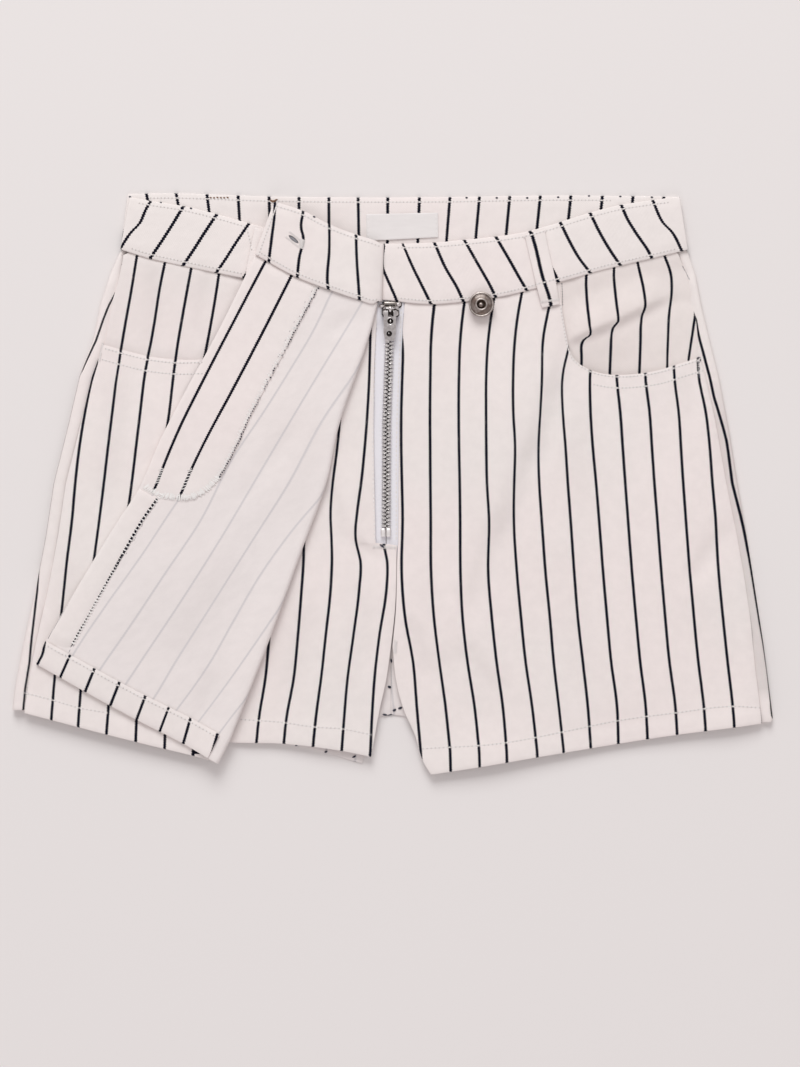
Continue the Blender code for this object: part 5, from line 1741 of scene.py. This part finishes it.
def tack(start, end, wide, thick=0.5, step=0.55):
    """A bar of close stitches square to the line between two points."""
    start, end = np.array(start, float), np.array(end, float)
    length = np.linalg.norm(end - start)
    across = np.array([start[1] - end[1], end[0] - start[0]]) / length * wide / 2
    rows = []
    for share in np.linspace(0, 1, max(int(length / step), 2)):
        p = start + (end - start) * share
        lean = (end - start) / length * 0.25
        rows.append(over(p, across + lean, thick, 0.12))
    return rows


# %% [markdown]
# A thread's shape is made once. A row of stitches lies beside the edge that it holds, so its
# line is the edge, moved in.

# %% One thread's shape


def thread_shape():
    """A thread's pillow of size 1, along X."""
    bpy.ops.mesh.primitive_uv_sphere_add(segments=6, ring_count=4, radius=0.5,
                                         rotation=(0, math.pi / 2, 0))
    return settled()


def inset(line, distance):
    """A line moved to its own right by a distance."""
    line = sample(line, 24)
    return line + distance * courses(line)[1]


def between(line, low_x, high_x):
    """The points of a line from one X to another."""
    return [point for point in line if low_x <= point[0] <= high_x]


# %% [markdown]
# The waistbands are topstitched close to both long edges at about five stitches to the
# centimetre. The back band shows only its upper row.

# %% Rows on the waistbands
RIGHT_SCOOP = SCOOP_RIGHT_DROP[1:] + SCOOP_RIGHT_BOTTOM[1:-1] + [(171.5, 70.2)]
LEFT_SCOOP = [(-160.5, 77.3)] + SCOOP_LEFT_BOTTOM[1:]
band_rows = [
    between(inset(tops(RIGHT_BAND), 2.6), -3.5, 159),
    between(inset(lows(RIGHT_BAND), -2.0), -4, 163),
    between(inset(tops(LEFT_BAND)[::-1], -2.4), -146.5, -81)[::-1],
    between(inset(lows(LEFT_BAND)[::-1], 2.4), -150.5, -81)[::-1],
    between(inset(tops(UPPER_BAND)[::-1], 2.2), -65.5, -7),
    between(inset(lows(UPPER_BAND)[::-1], -2.2), -75, -8),
    inset([(-66.6, 157.8), (-77.3, 128.2)], -2.2),
    between(inset(tops(BACK_BAND), 2.7), -146, 128),
    [(-81.8, 142.5), (-80.2, 136), (-79.2, 131)],
]

# %% [markdown]
# The hems have one row near their upper edge. The pocket openings have two rows, and the
# shorter rows hold the tapes, the loops and the label.

# %% Rows on hems, pockets, tapes and label
hem_rows_laid = [
    [(16.8, -148.7), (63.3, -145.3), (95.5, -139.2), (126, -133), (159, -128.5),
     (191.5, -124.9), (205.5, -125.7)],
    [(-206.6, -117.3), (-191.5, -121.2), (-175.8, -125.7), (-160.2, -128.5)],
    [(-85.1, -132.4), (-61, -134.1), (-44.8, -136.4), (-28.8, -137.5), (-12.3, -140.8)],
    sample(hem_plan[0] + (hem_plan[-1] - hem_plan[0]) * 0.14, 40)[1:-1],
]
pocket_rows = [
    inset(RIGHT_SCOOP, 1.1), inset(RIGHT_SCOOP[5:], 7.3),
    inset(LEFT_SCOOP[:-1], 1.9), inset(LEFT_SCOOP[:-1], 8.2),
]
small_rows = [
    [(-9.2, 97), (-10.3, 62), (-11.3, 36), (-10.4, -32)],
    [(4.6, 97), (3.4, 66), (2.2, 36), (1.8, -32)],
    [(-14.0, 149.8), (-13.9, 137.8)], [(24.1, 150.6), (24.3, 139.6)],
]
stitches, marks = [], []
for rows, step in ((band_rows, 2.0), (hem_rows_laid, 2.3), (pocket_rows, 2.0), (small_rows, 2.6)):
    for line in rows:
        laid, hole_shades = run(line, step)
        stitches += laid
        marks += hole_shades if rows is not small_rows else []
print(len(stitches), "stitches")

# %% [markdown]
# Bar tacks take the strain at the pocket corners, the loops, the foot of the zip and the
# fork, and bind both long sides of the buttonhole.

# %% Bar tacks and buttonhole
stitches += tack((171.2, 69.6), (171.8, 59.6), 1.4, 0.4, 0.9)
for start, end, wide in (((-11.2, -35.6), (2.2, -35.9), 2.2), ((1.6, -88), (1.2, -95), 2.2),
                         ((82.8, 101.6), (93.2, 103.2), 1.5), ((-162.6, 78.6), (-164.6, 69), 1.6)):
    stitches += tack(start, end, wide)
hole_along = np.array([math.cos(HOLE_LEAN), math.sin(HOLE_LEAN)])
hole_side = np.array([-hole_along[1], hole_along[0]])
for off in (-1.75, 1.75):
    start = np.array([HOLE_X + 0.1, HOLE_Y]) + hole_side * off
    stitches += tack(start - hole_along * 4.4, start + hole_along * 4.4, 1.1, 0.4, 0.5)
stitches += tack((-50.6, 136.4), (-51.4, 131.6), 3.4, 0.5, 0.45)
print(len(stitches), "stitches with the bar tacks")

# %% [markdown]
# The cut edges inside the flap are overlocked. Its loops reach over the edge, break up the
# stripe that runs beside it and leave a slightly hairy line.

# %% Overlocking round the facing
dots, hairs, grey = [], [], []
inner = sample([(-41.6, 109.2)] + FACING_INNER[1:5], 84)
along, inward = courses(inner)
for i, p in enumerate(inner):
    strong = 1.0 if i < 26 or i > 53 else 0.35
    if random.random() < 0.6 + 0.4 * strong:
        q = p + inward[i] * random.uniform(0.1, 0.7)
        half = along[i] * random.uniform(0.25, 0.45) + inward[i] * random.uniform(-0.3, 0.3)
        (dots if random.random() < 0.75 * strong else grey).append(
            over(q, half, random.uniform(0.7, 1.3), 0.3))
    for _ in range(3):
        q = p + along[i] * random.uniform(-0.5, 0.5) + inward[i] * 0.5
        tip = (p + inward[i] * random.uniform(1.6, 3.4)
               + along[i] * random.uniform(-1.2, 0.9))
        hairs.append(lay(q, tip, random.uniform(0.3, 0.45), 0.04, 0.3))
    if i < 42 and random.random() < 0.3:
        q = p + inward[i] * random.uniform(1.6, 3.2)
        grey.append(lay(q, q + along[i] * 0.9, 0.3))

# the rounded end, whose loops all point towards the middle of the curve
middle = np.array([-118.0, 12.0])
for p in sample(FACING_INNER[4:] + [(-132, -6.8), (-139.4, -2.4)], 60):
    toward = (middle - p) / np.linalg.norm(middle - p)
    wide = np.array([-toward[1], toward[0]])
    q = p + wide * random.uniform(-0.4, 0.4)
    hairs.append(lay(q - toward * random.uniform(0.5, 1.3), q + toward * random.uniform(2.2, 3.8),
                     random.uniform(0.6, 0.9), 0.02, 0.25))
stitches += tack((-129.9, 8.0), (-129.4, 7.2), 3.2, 0.6, 0.4)
stitches += tack((-113.8, 7.8), (-113.4, 7.0), 3.2, 0.6, 0.4)
for line in ([(-131.9, 0.5), (-129.4, 7.2)], [(-117.4, -3.0), (-113.8, 5.6)]):
    hairs += [over(p, (1.3, 0.3), 0.5, 0.1) for p in sample(line, 5)]
print(len(hairs), "loops of overlocking round the facing")

# %% [markdown]
# Down the turned edge the stripe lies right under the overlocking, so it shows as a row of
# dots, closer together towards the hem.

# %% Overlocking down the turned edge
upper_part = sample([(-129.8, -6.2), (-140.2, -20.5), (-152.4, -41)], 19)
lower_part = sample([(-152.9, -42), (-169.2, -71.8), (-179.9, -91)], 31)
for line in (upper_part, lower_part):
    for p, q in zip(line[:-1], line[1:]):
        step = (q - p) / np.linalg.norm(q - p)
        side = np.array([-step[1], step[0]]) * 1.3
        low_down = (p[1] + 42) / -49.0
        wide = 0.8 if line is upper_part else random.uniform(0.3, 0.75) + 0.5 * low_down
        hairs.append(over(p, side, wide, 0.12))
# Grey dots along its inner edge are painted shade under that edge.
for p in sample(TURN_IN_INNER, 70):
    q = p + np.array([random.uniform(-0.6, 0.6), random.uniform(-0.6, 0.6)])
    grey.append(over(q, (0.3, 0.5), 0.26))
print(len(hairs), "loops with the turned edge")

# %% [markdown]
# Stripes of the inner layers just show over some edges, and a few ends of thread are left
# in the seams. Brown thread was used for one short repair in the back band.

# %% Stripe ends and loose threads
for x, y, lean in ((-130.3, 158.0, -0.3), (-113.3, 154.8, -0.3), (-44.1, 149.6, -0.5),
                   (41.3, 160.9, 0), (58.2, 160.8, 0), (75.3, 160.8, 0), (92.7, 161.2, 0),
                   (110, 161.9, 0), (127.6, 161.6, 0), (145.3, 161.2, 0), (-147.6, 161.3, -0.6)):
    dots.append(over((x, y - 0.4), (0.75, 0.6 * lean), 1.0, 0.1))
for start, end, thick in (
        ((-1.2, -98.2), (-0.8, -100.6), 1.1), ((-3.0, -113.9), (-1.0, -114.6), 1.5),
        ((-0.3, -127.7), (1.8, -126.8), 1.4), ((2.8, -126.5), (5.2, -125.6), 1.4),
        ((-6.0, -129.5), (-3.2, -130.1), 1.1), ((-3.4, -130.1), (-0.4, -129.5), 0.9),
        ((-55, -147.2), (-53.6, -146.4), 1.0), ((-38.6, -151), (-36.8, -150.2), 1.0),
        ((170.4, 70.4), (172.6, 70.8), 0.9), ((172.5, 70.2), (172.3, 68.4), 0.7),
        ((171.7, 65.2), (171.8, 63.8), 0.6), ((171.6, 61.6), (171.7, 59.2), 0.9),
        ((-22.9, -153.9), (-20.8, -152.8), 1.1), ((-7.5, -34.0), (-4.8, -36.0), 1.0)):
    dots.append(lay(start, end, thick, 0.5 if thick == 1.0 else 0.2))
for p in sample([(94.7, 112), (95.0, 106), (95.2, 100.5)], 8):
    dots.append(over(p, (0, 0.45), random.uniform(0.4, 0.6), 0.1))
for p in sample([(5.9, 95), (5.5, 88), (5.3, 81)], 12):
    grey.append(over(p, (0, 0.3), 0.45, 0.1))
# A grey patch sunk in the buttonhole is painted shade inside its opening.
grey.append(over((HOLE_X, HOLE_Y), hole_along * HOLE_HALF, 2.2, -0.75, 0.3))
at_side = sample([(162.3, 122.2), (164.6, 118), (166.4, 114.3)], 5)
for start, end in zip(at_side[:-1], at_side[1:]):
    grey.append(lay(start, end, 0.45))
brown = [lay((x, 160.9 - 0.5 * random.random()), (x + 1.3, 160.4), 0.75, 0.2)
         for x in np.arange(-103.0, -92.0, 1.9)]
brown += [lay(start, end, 0.8, 0.3)
          for start, end in (((-69.4, 159.2), (-67.4, 158.6)), ((-67.8, 158.9), (-65.6, 158.4)),
                             ((-68.6, 158.5), (-66.2, 157.9)), ((-66.8, 158.9), (-64.6, 159.6)))]

# Two of these meshes hold painted shade: the needle-hole discs, and among the grey threads the
# buttonhole patch and the dots along the turned edge.
for name, places, material in (("topstitching", stitches, white_thread),
                               ("needle_hole_painted_shade", marks, hole_shade_thread),
                               ("overlock", hairs, overlock_thread),
                               ("stripe_ends", dots, navy_thread),
                               ("grey_threads_and_painted_shade", grey, grey_thread),
                               ("repair_stitches", brown, brown_thread)):
    repeated(name, thread_shape(), places, material)
